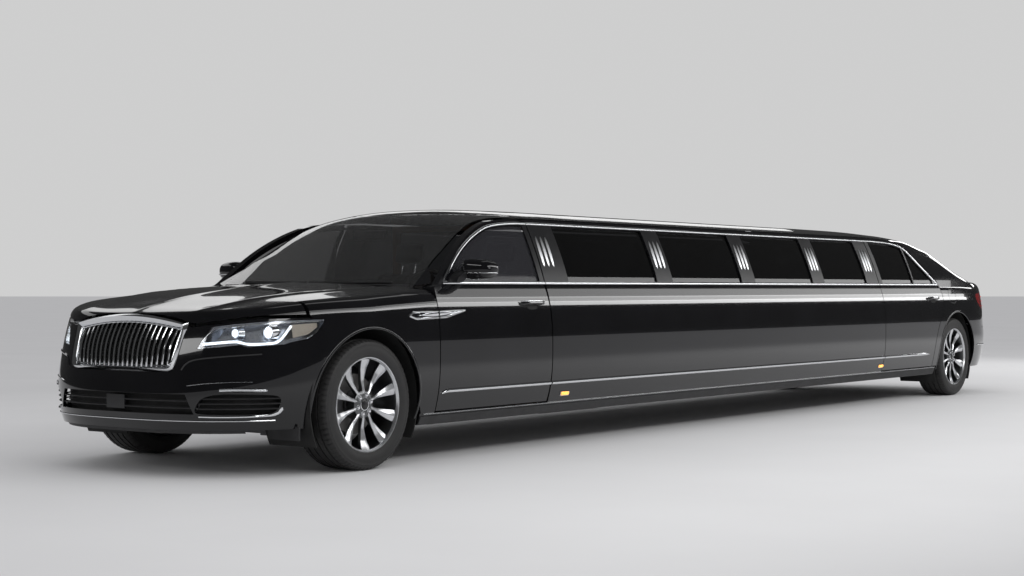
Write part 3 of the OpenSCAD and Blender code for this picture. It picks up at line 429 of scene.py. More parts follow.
@dataclass(frozen=True)
class Form:
    """The car's outer surface and its main lines, all from the front axle."""

    half_w: float = 956.0
    wheelbase: float = 8100.0
    front: float = 960.0
    rear: float = 1120.0
    belt: float = 1002.0
    sill: float = 212.0
    rail: float = 1383.0
    arch_r: float = 412.0
    wheel_r: float = 353.0
    wheel_x: float = 803.0
    gap: float = 7.5
    door_z: float = 286.0
    front_door: Flat = (573.0, 1663.0)
    rear_door: Flat = (6530.0, 7760.0)
    stretch: Flat = (1670.5, 6522.5)
    nose_run: Knots = Knots(((200, 0.968), (300, 0.996), (450, 1), (560, 0.98), (700, 0.94), (800, 0.905),
                             (860, 0.885), (1000, 0.86)))
    tail_run: Knots = Knots(((200, 0.93), (350, 0.985), (560, 1.0), (640, 0.965), (850, 0.955), (1000, 0.975),
                             (1060, 0.97)))
    hood_line: Knots = Knots(((-0.62, 1022), (0, 985), (0.42, 940), (0.72, 884), (0.86, 852), (1, 800)))
    deck_line: Knots = Knots(((-1.2, 1076), (0.1, 1074), (0.55, 1070), (0.68, 1066), (0.9, 1046), (1, 1026)))
    roof_front: Knots = Knots(((300, 905), (450, 1000), (790, 1205), (1020, 1345), (1200, 1428), (1450, 1471),
                               (2000, 1486), (2600, 1488)))
    roof_rear: Knots = Knots(((-1500, 1488), (-800, 1484), (-400, 1473), (-140, 1461), (134, 1411), (270, 1378),
                              (555, 1257), (770, 1162), (960, 1093), (1100, 1040), (1250, 980)))
    rear_glass: float = 7675.0
    crown: Knots = Knots(((800, 20), (1500, 88), (7575, 88), (8475, 24)))
    window_front: Knots = Knots(((600, -0.1), (900, 0.517), (1200, 0.882), (1450, 0.982), (1750, 1)))
    window_rear: Knots = Knots(((-1400, 1), (-1020, 0.96), (-810, 0.848), (-700, 0.65), (-570, 0.407),
                                (-355, 0.047), (-300, -0.06)))
    hood_side: Knots = Knots(((-560, 705), (-406, 792), (0, 862), (594, 902)))
    lamp_line: Knots = Knots(((0, 842), (200, 834), (330, 820), (420, 797), (455, 790), (600, 808), (720, 828),
                              (960, 838)))

    def low_side(self, z: np.ndarray) -> np.ndarray:
        """Half width of the sides under the windows."""
        return self.half_w - 56 * (np.abs(np.asarray(z, float) - 620) / 380) ** 2.6

    def high_side(self, z: np.ndarray) -> np.ndarray:
        """Half width of the leaning side glass."""
        rise = np.asarray(z, float) - self.belt
        return self.half_w - 59 - 0.30 * rise - 0.000281 * rise ** 2

    def side(self, z: np.ndarray) -> np.ndarray:
        """Half width of the straight body at a height."""
        return np.where(np.asarray(z) < self.belt, self.low_side(z), self.high_side(z))

    def hood(self, x: np.ndarray, y: np.ndarray) -> np.ndarray:
        """Height of the hood, with its middle ridge and the two lines that run to the grille's corners."""
        q = -np.asarray(y, float) / self.front
        across = np.abs(np.asarray(x, float))
        base = self.hood_line(q) - 46 * (across / 850) ** 2.2 * (1 - 0.6 * np.clip(q, 0, None))
        fade = np.clip((0.9 - q) / 0.12, 0, 1)
        ridge = 5.0 * np.exp(-across / 42)
        line = np.interp(y, (-900, -700, -300, 560), (430, 462, 560, 735))
        off = across - line
        crest = 7.0 * np.where(off < 0, np.exp(off / 95), np.exp(-off / 26))
        return base + fade * (ridge + crest)

    def deck(self, x: np.ndarray, y: np.ndarray) -> np.ndarray:
        """Height of the trunk deck."""
        return self.deck_line((np.asarray(y, float) - self.wheelbase) / self.rear) - 44 * (np.abs(x) / 850) ** 2.4

    def roof(self, x: np.ndarray, y: np.ndarray) -> np.ndarray:
        """Height of the windshield, roof and rear window."""
        bow = 95 * (np.abs(x) / 800) ** 2.2
        front = self.roof_front(np.minimum(y - bow, 2600))
        rear = self.roof_rear(y + 1.2 * bow - self.rear_glass)
        return np.minimum(front, rear) - self.crown(y) * (np.abs(x) / 750) ** 2.4

    def window_top(self, y: np.ndarray) -> np.ndarray:
        """Top line of the side windows."""
        y = np.asarray(y, float)
        share = np.where(y < self.wheelbase / 2, self.window_front(y), self.window_rear(y - self.wheelbase))
        return self.belt + (self.rail - self.belt) * share

    def hood_rear(self, x: np.ndarray) -> np.ndarray:
        """Rear edge of the hood."""
        return 395 + 172 * (np.abs(x) / 900) ** 2

    def lid_front(self, x: np.ndarray) -> np.ndarray:
        """Front edge of the trunk lid."""
        return self.wheelbase + 632 - 70 * (np.abs(x) / 700) ** 2

    def nose(self, x: np.ndarray, z: np.ndarray) -> np.ndarray:
        """Station of the nose's face at a place seen from the front."""
        f = np.clip(np.abs(x) / self.low_side(z), 0, 1)
        return -self.front * self.nose_run(z) * (1 - f ** 3) ** (1 / 2.212)

    def tail(self, x: np.ndarray, z: np.ndarray) -> np.ndarray:
        """Station of the tail's face at a place seen from behind."""
        f = np.clip(np.abs(x) / self.low_side(z), 0, 1)
        run = self.rear * self.tail_run(z) - 200
        return self.wheelbase + 200 + run * (1 - f ** 2.5) ** 0.25

    def flank(self, y: np.ndarray, z: np.ndarray) -> np.ndarray:
        """Half width of the body anywhere along it, nose and tail included."""
        y = np.asarray(y, float)
        fore = (1 - np.clip(-y / (self.front * self.nose_run(z)), 0, 1) ** 2.212) ** (1 / 3)
        aft = np.clip((y - self.wheelbase - 200) / (self.rear * self.tail_run(z) - 200), 0, 1)
        return self.side(z) * fore * (1 - aft ** 4) ** 0.4

    def long_windows(self) -> list[Flat]:
        """Start and end of the four long windows of the stretched side."""
        shares = (1.13, 1.04, 1.0, 0.83)
        room = self.stretch[1] - self.stretch[0] - 262 - 230 - 3 * 208
        start, spans = self.stretch[0] + 262, []
        for share in shares:
            length = room * share / sum(shares)
            spans.append((start, start + length))
            start += length + 208
        return spans


FORM = Form()


def to_frame(points: Iterable[Sequence[float]]) -> np.ndarray:
    """Points of the body drawing, in millimetres, as metres in the frame."""
    p = np.array(list(points), float).reshape(-1, 3)
    return np.column_stack((p[:, 0], p[:, 1] - (FORM.wheelbase + FORM.rear - FORM.front) / 2, p[:, 2])) / 1000


def mirrored(points: Iterable[Sequence[float]]) -> list[Point]:
    """The same points on the right side."""
    return [(-p[0], p[1], p[2]) for p in points]


# ---------------------------------------------------------------- making and finishing pieces
def select_only(*objects: bpy.types.Object) -> None:
    """Selects these objects alone, the first one active."""
    bpy.ops.object.select_all(action="DESELECT")
    for one in objects:
        one.select_set(True)
    bpy.context.view_layer.objects.active = objects[0]


def apply_modifier(obj: bpy.types.Object, kind: str, **settings: object) -> None:
    """Adds one modifier with its settings and applies it."""
    select_only(obj)
    made = obj.modifiers.new(kind.lower(), kind)
    for key, given in settings.items():
        setattr(made, key, given)
    bpy.ops.object.modifier_apply(modifier=made.name)


def mesh_object(name: str, points: np.ndarray, faces: Sequence[Sequence[int]]) -> bpy.types.Object:
    """A new object from points in metres and faces, merged, facing outwards."""
    mesh = bpy.data.meshes.new(name)
    mesh.from_pydata([tuple(p) for p in points], [], [tuple(f) for f in faces])
    work = bmesh.new()
    work.from_mesh(mesh)
    bmesh.ops.remove_doubles(work, verts=work.verts, dist=2e-6)
    bmesh.ops.recalc_face_normals(work, faces=work.faces)
    work.to_mesh(mesh)
    work.free()
    obj = bpy.data.objects.new(name, mesh)
    bpy.context.scene.collection.objects.link(obj)
    return obj


def joined(name: str, objects: Sequence[bpy.types.Object]) -> bpy.types.Object:
    """Several objects as one mesh, with their materials."""
    select_only(*objects)
    if len(objects) > 1:
        bpy.ops.object.join()
    objects[0].name = name
    return objects[0]


def dress(obj: bpy.types.Object, name: str, finish: Finish, body: str = "body", *, stands_for: Sequence[str] = (),
          smooth: float = 32.0, keep: bool = False, slot: str = "") -> bpy.types.Object:
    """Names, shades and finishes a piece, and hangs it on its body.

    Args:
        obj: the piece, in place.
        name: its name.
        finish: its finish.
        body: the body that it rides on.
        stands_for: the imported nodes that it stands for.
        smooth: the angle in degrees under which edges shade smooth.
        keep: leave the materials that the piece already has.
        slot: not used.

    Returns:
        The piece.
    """
    obj.name = name
    obj.data.name = name
    if not keep:
        obj.data.materials.clear()
        obj.data.materials.append(finish.material())
    select_only(obj)
    bpy.ops.object.shade_smooth_by_angle(angle=math.radians(smooth))
    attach(obj, body)
    if stands_for:
        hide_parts(*stands_for)
    log.info("%s: %d faces on %s", name, len(obj.data.polygons), body)
    return obj


class Solid:
    """A closed shape that is cut, met and joined with others."""

    def __init__(self, points: Iterable[Sequence[float]], faces: Sequence[Sequence[int]]) -> None:
        """Starts from points in drawing millimetres."""
        self.obj = mesh_object("solid", to_frame(points), faces)

    @classmethod
    def prism(cls, outline: Sequence[Flat], axis: int, low: float, high: float) -> "Solid":
        """A drawn outline pushed along an axis.

        Args:
            outline: corners in the two other axes, in x, y, z order.
            axis: 0 across the car, 1 along it, 2 upwards.
            low: where it starts.
            high: where it ends.
        """
        n = len(outline)
        points = []
        for depth in (low, high):
            for a, b in outline:
                spot = [a, b]
                spot.insert(axis, depth)
                points.append(spot)
        faces = [list(range(n)), list(range(2 * n - 1, n - 1, -1))]
        faces += [[i, (i + 1) % n, n + (i + 1) % n, n + i] for i in range(n)]
        return cls(points, faces)

    @classmethod
    def block(cls, low: Point, high: Point) -> "Solid":
        """A box between two corners."""
        return cls.prism([(low[0], low[1]), (high[0], low[1]), (high[0], high[1]), (low[0], high[1])], 2,
                         low[2], high[2])

    @classmethod
    def wheel_hole(cls, y: float, r: float | None = None) -> "Solid":
        """The round cut of both wheel arches of an axle."""
        r = r or FORM.arch_r
        ring = [(y + r * math.cos(a), FORM.wheel_r + r * math.sin(a)) for a in np.linspace(0, 2 * math.pi, 97)[:-1]]
        return cls.prism(ring, 0, -1010, 1010)

    def copy(self) -> "Solid":
        """A copy with its own mesh."""
        twin = object.__new__(Solid)
        twin.obj = self.obj.copy()
        twin.obj.data = self.obj.data.copy()
        bpy.context.scene.collection.objects.link(twin.obj)
        return twin

    def _with(self, other: "Solid", operation: str, keep: bool) -> "Solid":
        """Combines with another shape, which goes unless it is kept."""
        apply_modifier(self.obj, "BOOLEAN", operation=operation, object=other.obj, solver="MANIFOLD")
        if not keep:
            other.drop()
        return self

    def cut(self, other: "Solid", keep: bool = False) -> "Solid":
        """Takes another shape away."""
        return self._with(other, "DIFFERENCE", keep)

    def meet(self, other: "Solid", keep: bool = False) -> "Solid":
        """Keeps what is inside another shape too."""
        return self._with(other, "INTERSECT", keep)

    def add(self, other: "Solid") -> "Solid":
        """Joins another shape on."""
        return self._with(other, "UNION", False)

    def flipped(self) -> "Solid":
        """A copy on the car's other side."""
        twin = self.copy()
        flip_over(twin.obj)
        return twin

    def drop(self) -> None:
        """Removes the shape."""
        bpy.data.meshes.remove(self.obj.data)


def grid_faces(rows: int, columns: int, closed: bool = False) -> list[list[int]]:
    """Faces of a grid of rows by columns, its columns joined round where closed."""
    last = columns if closed else columns - 1
    return [[r * columns + c, r * columns + (c + 1) % columns, (r + 1) * columns + (c + 1) % columns,
             (r + 1) * columns + c] for r in range(rows - 1) for c in range(last)]


class End(Enum):
    """The two rounded ends of the body."""

    NOSE = 0
    TAIL = 1


def end_solid(end: End, in_x: float = 0.0, in_y: float = 0.0, in_z: float = 0.0) -> Solid:
    """The closed nose or tail, or the hollow inside it.

    Args:
        end: which end.
        in_x: how far the sides lie inside the outer skin.
        in_y: how far its face lies inside.
        in_z: how far its top lies inside.
    """
    f = np.concatenate((np.linspace(0, 0.9, 46), 1 - 0.1 * np.linspace(1, 0, 15)[1:] ** 1.6))
    if end is End.NOSE:
        straight, sign, top = np.linspace(0, 660, 24)[1:], 1.0, FORM.hood
        run = lambda z: FORM.front * FORM.nose_run(z)
        shape = lambda g: (1 - np.clip(g, 0, 1) ** 3) ** (1 / 2.212)
        start, guess, radius = 0.0, 880.0, 70.0
    else:
        straight, sign, top = np.linspace(0, 1100, 30)[1:], -1.0, FORM.deck
        run = lambda z: FORM.rear * FORM.tail_run(z) - 200
        shape = lambda g: (1 - np.clip(g, 0, 1) ** 2.5) ** 0.25
        start, guess, radius = FORM.wheelbase + 200, 980.0, 60.0
    columns = len(f) + len(straight)
    f_all = np.concatenate((f, np.ones(len(straight))))
    back = np.concatenate((np.zeros(len(f)), straight))

    def base(z: np.ndarray) -> tuple[np.ndarray, np.ndarray]:
        """Plan place of each column at its height."""
        x = (FORM.low_side(z) - in_x) * f_all
        y = start - sign * (run(z) * shape((x + in_x) / FORM.low_side(z)) - in_y)
        y = np.where(back > 0, start + sign * (back + in_y), y)
        return x, y

    z = np.full(columns, guess)
    for _ in range(16):
        x, y = base(z)
        z = 0.5 * z + 0.5 * (top(x, y) - in_z)
    corner = z
    cx, cy = base(corner)
    spine = np.where(back > 0, cy, start + (cy - start) * 0.72)
    away = np.hypot(cx, cy - spine) + 1e-9
    soft = np.minimum(radius * np.clip(0.3 + 0.7 * f_all ** 2, 0, 1), away * 0.5)
    low = corner - soft
    rows = []
    for share in np.linspace(0, 1, 40):
        level = (FORM.sill - 10) + (low - FORM.sill + 10) * share
        rows.append((*base(level), level))
    ax, ay, az = rows[-1]
    dx = cx * (1 - soft / away)
    dy = cy + (spine - cy) * soft / away
    dz = top(dx, dy) - in_z
    for u in np.linspace(0, 1, 9)[1:]:
        w = ((1 - u) ** 2, 2 * u * (1 - u), u * u)
        rows.append(tuple(w[0] * a + w[1] * c + w[2] * d
                          for a, c, d in ((ax, cx, dx), (ay, cy, dy), (az, corner, dz))))
    for share in 1 - np.linspace(1, 0, 40)[1:]:
        x, y = dx * (1 - share), dy + (spine - dy) * share
        rows.append((x, y, top(x, y) - in_z))
    left = np.array(rows)
    points, faces = [], []
    count = len(rows)
    for side in (1, -1):
        begin = len(points)
        for r in range(count):
            points += [(side * left[r][0][c], left[r][1][c], left[r][2][c]) for c in range(columns)]
        faces += [[begin + i for i in face] for face in grid_faces(count, columns)]
    size = count * columns
    faces.append([r * columns + columns - 1 for r in range(count)]
                 + [size + r * columns + columns - 1 for r in range(count - 2, -1, -1)])
    faces.append(list(range(columns - 1, -1, -1)) + [size + c for c in range(1, columns)])
    return Solid(points, faces)


def cabin_solid(in_x: float = 0.0, in_z: float = 0.0) -> Solid:
    """The closed upper cabin from the belt to the roof, or the hollow inside it."""
    ys = np.concatenate((np.arange(300, 1500, 24.0), np.arange(1500, 2700, 80.0), np.arange(2700, 6200, 350.0),
                         np.arange(6200, 7500, 80.0), np.arange(7500, 8920, 26.0)))
    z0, radius = FORM.belt - 60, 45.0
    sections = []
    for y in ys:
        top = lambda x: np.maximum(FORM.roof(x, y) - in_z, FORM.belt - 40)
        z = 1330.0
        for _ in range(12):
            z = 0.5 * z + 0.5 * float(top(FORM.high_side(z) - in_x))
        x = float(FORM.high_side(z)) - in_x
        zs, xt = max(z - radius, z0 + 1), max(x - radius, x / 2)
        side = [(float(FORM.high_side(v)) - in_x, v) for v in np.linspace(z0, zs, 16)]
        a, c, d = side[-1], (x, z), (xt, float(top(xt)))
        turn = [((1 - u) ** 2 * a[0] + 2 * u * (1 - u) * c[0] + u * u * d[0],
                 (1 - u) ** 2 * a[1] + 2 * u * (1 - u) * c[1] + u * u * d[1]) for u in np.linspace(0, 1, 9)[1:]]
        over = [(xt * u, float(top(xt * u))) for u in np.linspace(1, 0, 25)[1:]]
        half = side + turn + over
        sections.append(half + [(-p[0], p[1]) for p in half[-2::-1]])
    n = len(sections[0])
    points = [(x, y, z) for y, section in zip(ys, sections) for x, z in section]
    faces = grid_faces(len(ys), n, closed=True)
    faces += [list(range(n)), [(len(ys) - 1) * n + i for i in range(n)]]
    return Solid(points, faces)


class Skin(Enum):
    """The outer surfaces that trim lies on, each with its two coordinates."""

    SIDE = "y, z"
    NOSE = "x, z"
    TAIL = "x, z behind"
    HOOD = "x, y"
    DECK = "x, y behind"
    ROOF = "x, y above"

    def _raw(self, u: np.ndarray, v: np.ndarray) -> np.ndarray:
        """Points of the surface itself."""
        if self is Skin.SIDE:
            return np.stack((FORM.flank(u, v), u, v), -1)
        if self is Skin.NOSE:
            return np.stack((u, FORM.nose(u, v), v), -1)
        if self is Skin.TAIL:
            return np.stack((u, FORM.tail(u, v), v), -1)
        top = {Skin.HOOD: FORM.hood, Skin.DECK: FORM.deck, Skin.ROOF: FORM.roof}[self]
        return np.stack((u, v, top(u, v)), -1)

    def at(self, path: Sequence[Flat], lift: float = 0.0) -> tuple[np.ndarray, np.ndarray]:
        """Points on the surface and its outward normals.

        Args:
            path: coordinates on the surface.
            lift: how far the points stand proud.
        """
        uv = np.array(path, float)
        u, v = uv[..., 0], uv[..., 1]
        here = self._raw(u, v)
        normal = np.cross(self._raw(u + 1, v) - self._raw(u - 1, v), self._raw(u, v + 1) - self._raw(u, v - 1))
        normal /= np.linalg.norm(normal, axis=-1, keepdims=True) + 1e-12
        facing = {Skin.SIDE: 0, Skin.NOSE: 1, Skin.TAIL: 1}.get(self, 2)
        want = -1.0 if self is Skin.NOSE else 1.0
        normal *= np.sign(normal[..., facing:facing + 1]) * want
        return here + normal * lift, normal


class Profile(Enum):
    """Cross-sections of trim, as shares of its width and height above the surface."""

    STRIP = ((-0.5, -0.6), (-0.5, 0.35), (-0.36, 0.8), (-0.14, 1.0), (0.14, 1.0), (0.36, 0.8), (0.5, 0.35),
             (0.5, -0.6))
    RIDGE = ((-0.5, -0.6), (-0.5, 0.1), (-0.25, 0.62), (0.0, 1.0), (0.25, 0.62), (0.5, 0.1), (0.5, -0.6))
    ROD = tuple((0.5 * math.cos(a), 0.5 + 0.5 * math.sin(a)) for a in np.linspace(0, 2 * math.pi, 13)[:-1])
    BLADE = ((-0.5, -0.9), (-0.5, 0.7), (-0.3, 1.0), (0.3, 1.0), (0.5, 0.7), (0.5, -0.9))


def ribbon(points: np.ndarray, normals: np.ndarray, width: "float | Sequence[float]",
           height: "float | Sequence[float]",
           profile: Profile = Profile.STRIP, closed: bool = False) -> bpy.types.Object:
    """Trim of one profile along a path that lies on a surface.

    Args:
        points: the path, in drawing millimetres.
        normals: outward normals along it.
        width: its width, or one at each point.
        height: its height above the surface, or one at each point.
        profile: its cross-section.
        closed: whether the path runs round to its start.
    """
    n = len(points)
    ahead = np.roll(points, -1, 0) - points
    behind = points - np.roll(points, 1, 0)
    if not closed:
        ahead[-1], behind[0] = behind[-1], ahead[0]
    ahead /= np.linalg.norm(ahead, axis=1, keepdims=True) + 1e-9
    behind /= np.linalg.norm(behind, axis=1, keepdims=True) + 1e-9
    along = ahead + behind
    along /= np.linalg.norm(along, axis=1, keepdims=True) + 1e-9
    stretch = 1 / np.clip(np.sum(along * ahead, axis=1), 0.5, 1)
    normals = normals - along * np.sum(normals * along, axis=1, keepdims=True)
    normals /= np.linalg.norm(normals, axis=1, keepdims=True) + 1e-9
    across = np.cross(along, normals)
    w = np.broadcast_to(np.asarray(width, float), (n,)) * stretch
    h = np.broadcast_to(np.asarray(height, float), (n,))
    spots = [points[i] + across[i] * w[i] * a + normals[i] * h[i] * b for i in range(n) for a, b in profile.value]
    m = len(profile.value)
    faces = grid_faces(n, m, closed=True)
    if closed:
        faces += [[(n - 1) * m + c, (n - 1) * m + (c + 1) % m, (c + 1) % m, c] for c in range(m)]
    else:
        faces += [list(range(m)), [(n - 1) * m + c for c in range(m)]]
    return mesh_object("ribbon", to_frame(spots), faces)


def trim(skin: Skin, path: Sequence[Flat], width: "float | Sequence[float]", height: "float | Sequence[float]",
         profile: Profile = Profile.STRIP, closed: bool = False, lift: float = 0.0) -> bpy.types.Object:
    """Trim along a path on one of the outer surfaces."""
    points, normals = skin.at(path, lift)
    return ribbon(points, normals, width, height, profile, closed)


def smooth_path(corners: Sequence[Flat], step: float = 12.0, rounds: int = 3, closed: bool = False) -> list[Flat]:
    """A path through corners that are rounded off, with points no further apart than a step."""
    p = np.array(corners, float)
    for _ in range(rounds):
        q = np.roll(p, -1, 0)
        a, b = p * 0.75 + q * 0.25, p * 0.25 + q * 0.75
        if closed:
            p = np.stack((a, b), 1).reshape(-1, p.shape[1])
        else:
            p = np.concatenate((p[:1], np.stack((a, b), 1)[:-1].reshape(-1, p.shape[1]), p[-1:]))
    out = []
    count = len(p) if closed else len(p) - 1
    for i in range(count):
        a, b = p[i], p[(i + 1) % len(p)]
        k = max(1, int(np.hypot(*(b - a)[:2]) / step))
        out += [tuple(a + (b - a) * j / k) for j in range(k)]
    return out if closed else out + [tuple(p[-1])]


def patch(skin: Skin, us: Sequence[float], low: Callable, high: Callable, rows: int = 10, lift: float = 1.0,
          thick: float = 3.0) -> bpy.types.Object:
    """A thin closed panel that follows an outer surface between two lines.

    Args:
        skin: the surface.
        us: first coordinates of its columns.
        low: second coordinate of its lower line over the first.
        high: second coordinate of its upper line.
        rows: how many rows it has.
        lift: how far it stands proud.
        thick: its thickness, inwards.
    """
    path = [(u, low(u) + (high(u) - low(u)) * r / rows) for r in range(rows + 1) for u in us]
    outer, normal = skin.at(path, lift)
    inner = outer - normal * thick
    n, m = len(us), rows + 1
    size = n * m
    faces = grid_faces(m, n)
    faces += [[size + i for i in face[::-1]] for face in faces]
    edge = list(range(n)) + [r * n + n - 1 for r in range(1, m)] + [size - 1 - i for i in range(1, n)] \
        + [r * n for r in range(m - 2, 0, -1)]
    faces += [[a, b, b + size, a + size] for a, b in zip(edge, edge[1:] + edge[:1])]
    return mesh_object("patch", to_frame(np.concatenate((outer, inner))), faces)


def rounded_box(low: Point, high: Point, radius: float = 6.0, segments: int = 3) -> bpy.types.Object:
    """A block between two corners, in drawing millimetres, with rounded edges."""
    a, b = to_frame([low])[0], to_frame([high])[0]
    bpy.ops.object.select_all(action="DESELECT")
    bpy.ops.mesh.primitive_cube_add(size=1, location=(a + b) / 2, scale=b - a)
    obj = bpy.context.object
    bpy.ops.object.transform_apply(location=True, rotation=True, scale=True)
    bpy.ops.object.mode_set(mode="EDIT")
    bpy.ops.mesh.select_all(action="SELECT")
    bpy.ops.mesh.bevel(offset=min(radius / 1000, 0.48 * float(min(b - a))), segments=segments, affect="EDGES")
    bpy.ops.object.mode_set(mode="OBJECT")
    return obj


def turned(centre: Point, profile: Sequence[Flat], axis: str = "X", steps: int = 64) -> bpy.types.Object:
    """A closed shape turned about an axis through a centre.

    Args:
        centre: a point of the axis, in drawing millimetres.
        profile: (along the axis, radius) pairs, round the whole section.
        axis: the axis of the turn.
        steps: how many steps it makes.
    """
    points = []
    for i in range(steps):
        c, s = math.cos(2 * math.pi * i / steps), math.sin(2 * math.pi * i / steps)
        for along, r in profile:
            spot = {"X": (along, r * c, r * s), "Y": (r * c, along, r * s), "Z": (r * c, r * s, along)}[axis]
            points.append([centre[k] + spot[k] for k in range(3)])
    n = len(profile)
    faces = [[i * n + j, i * n + (j + 1) % n, ((i + 1) % steps) * n + (j + 1) % n, ((i + 1) % steps) * n + j]
             for i in range(steps) for j in range(n)]
    return mesh_object("turned", to_frame(points), faces)


SIDES = (("left", 1), ("right", -1))


def flip_over(obj: bpy.types.Object) -> bpy.types.Object:
    """Mirrors a piece's mesh to the car's other side."""
    work = bmesh.new()
    work.from_mesh(obj.data)
    for v in work.verts:
        v.co.x = -v.co.x
    bmesh.ops.reverse_faces(work, faces=work.faces)
    work.to_mesh(obj.data)
    work.free()
    return obj


def twin_over(obj: bpy.types.Object) -> bpy.types.Object:
    """A mirrored copy of a piece on the car's other side."""
    twin = obj.copy()
    twin.data = obj.data.copy()
    bpy.context.scene.collection.objects.link(twin)
    return flip_over(twin)


# ---------------------------------------------------------------- outlines of the panels
FIT = 0.3  # clearance between pieces that touch
EDGE = 1010.0  # beyond the widest place


def between(a: float, b: float, count: int) -> list[float]:
    """Evenly spaced numbers, both ends among them."""
    return [float(v) for v in np.linspace(a, b, count + 1)]


def hood_plan(g: float = 0.0) -> Solid:
    """Plan of the hood, shrunk by a gap."""
    rear = [(x, float(FORM.hood_rear(x)) - g) for x in between(-890, 890, 80) if abs(x) < 860]
    edge = [(float(FORM.hood_side(y)) - g, y - (g if y > 500 else 0))
            for y in between(float(FORM.hood_rear(890)), -430, 48)]
    outline = rear + edge + [(1100, -430), (1100, -980), (-1100, -980), (-1100, -430)]
    return Solid.prism(outline + [(-x, y) for x, y in edge[::-1]], 2, 500, 1300)


def above_lamps(g: float) -> Solid:
    """Everything over the hood's front edge and the lamps' upper line."""
    line = [(x, float(FORM.lamp_line(abs(x))) + g) for x in between(-1000, 1000, 120)]
    return Solid.prism(line + [(1000, 1600), (-1000, 1600)], 1, -1060, 700)


def grille_outline(g: float) -> list[Flat]:
    """The grille's edge seen from the front, shrunk by g."""
    top = [(x, 838 - g - 44 * (x / 420) ** 2) for x in between(-412 + g, 412 - g, 40)]
    right = smooth_path([(412 - g, 838 - g - 44 * ((412 - g) / 420) ** 2), (420 - g, 786), (420 - g, 770),
                         (400 - g, 574), (374 - g, 548 + g), (340 - g, 548 + g)], 20.0, 2)
    return top[:-1] + right + [(-x, z) for x, z in right[::-1]][:-1]


def lamp_outline(g: float) -> list[Flat]:
    """The left headlamp's edge seen from the front, shrunk by g."""
    return [(556 + g, 778 - g), (650, 792 - g), (752, 804 - g), (840, 811 - g), (906 - g, 814 - g), (906 - g, 790),
            (898 - g, 745), (884 - g, 718 + g), (824, 688 + g), (722, 677 + g), (690, 688 + g), (600, 676 + g),
            (500 + 1.6 * g, 668 + g)]


def lamp_space(g: float) -> Solid:
    """The room of the left headlamp, shrunk by g."""
    return Solid.prism(lamp_outline(g), 1, -960, -300).meet(
        Solid.prism([(-1000, 600), (-340, 600), (-300 - g, 800), (-300 - g, 900), (-1000, 900)], 0, 0, 956))


def window_outline(y0: float, y1: float, g: float = 0.0) -> list[Flat]:
    """A side window's edge between two stations, shrunk by g."""
    low = FORM.belt + 14 + g
    return [(y0 + g, low)] + [(y, float(FORM.window_top(y)) - 22 - g) for y in between(y0 + g, y1 - g, 48)] \
        + [(y1 - g, low)]


def front_outline(g: float = 0.0) -> list[Flat]:
    """The front door's edge seen from the side, grown by g."""
    y0, y1 = FORM.front_door
    top = FORM.rail + 22 + g
    arc = [(y, float(FORM.window_top(y)) + 22 + g) for y in between(614, 1750, 70)]
    return [(y0 - g, FORM.door_z - g), (y0 - g, float(FORM.window_top(600)) + 22 + g)] + arc \
        + [(y1 + g + 40, top), (y1 + g + 40, FORM.door_z - g)]


def rear_outline(g: float = 0.0) -> list[Flat]:
    """The rear door's edge seen from the side, grown by g."""
    y0, axle, r = FORM.rear_door[0], FORM.wheelbase, FORM.arch_r + 113
    arc = [(y + g * 0.5, float(FORM.window_top(y)) + 22 + g) for y in between(7000, 7770, 60)]
    last = 180 + math.degrees(math.asin((FORM.wheel_r - FORM.door_z + g) / r))
    turn = [(axle + (r - g) * math.cos(math.radians(a)), FORM.wheel_r + (r - g) * math.sin(math.radians(a)))
            for a in between(128.5, last, 30)]
    return [(y0 - g, FORM.door_z - g), (y0 - g, float(FORM.window_top(y0)) + 22 + g)] + arc \
        + [(axle - 305 + g, 925), (axle - 300 + g, 860)] + turn


def shield_space(g: float) -> Solid:
    """The windshield's opening seen from the front, shrunk by g."""
    def half(z: float) -> float:
        """Half width of the opening."""
        return 806 - 0.40 * (z - 975)
    return Solid.prism([(-half(975) + g, 885 + g), (half(975) - g, 885 + g), (half(1432) - g, 1432 - g),
                        (-half(1432) + g, 1432 - g)], 1, 300, 1700)


def rear_space(g: float) -> Solid:
    """The rear window's opening seen from behind, shrunk by g."""
    return Solid.prism([(-640 + g, 1126 + g), (640 - g, 1126 + g), (575 - g, 1418 - g), (-575 + g, 1418 - g)], 1,
                       7325, 8900)


def behind_hood(g: float) -> Solid:
    """Everything behind the hood's rear edge."""
    return Solid.prism([(x, float(FORM.hood_rear(x)) + g) for x in between(-960, 960, 80)]
                       + [(960, 9220), (-960, 9220)], 2, 0, 2000)


def before_lid(g: float) -> Solid:
    """Everything before the trunk lid's front edge."""
    return Solid.prism([(x, float(FORM.lid_front(x)) - g) for x in between(-960, 960, 80)]
                       + [(960, 0), (-960, 0)], 2, -1, 1999)


def wall(y0: float, y1: float, z0: float, z1: float, inset: float = 0.0, low_t: float = 84.0,
         high_t: float = 46.0) -> Solid:
    """A length of the car's side, as thick as its doors below the belt and their frames above."""
    low = between(z0, min(z1, FORM.belt - 0.01), 44) if z0 < FORM.belt else []
    high = between(max(z0, FORM.belt), z1, 26) if z1 > FORM.belt else []
    section = [(float(FORM.side(z)) - inset, z) for z in low + high]
    section += [(float(FORM.side(z)) - inset - high_t, z) for z in high[::-1]]
    section += [(float(FORM.side(z)) - inset - low_t, z) for z in low[::-1]]
    return Solid.prism(section, 1, y0, y1)


def pane(y0: float, y1: float) -> Solid:
    """Side glass between two stations."""
    return wall(y0, y1, FORM.belt, FORM.rail + 22, 10, 5, 5).meet(
        Solid.prism(window_outline(y0, y1, FIT), 0, 556, 956))


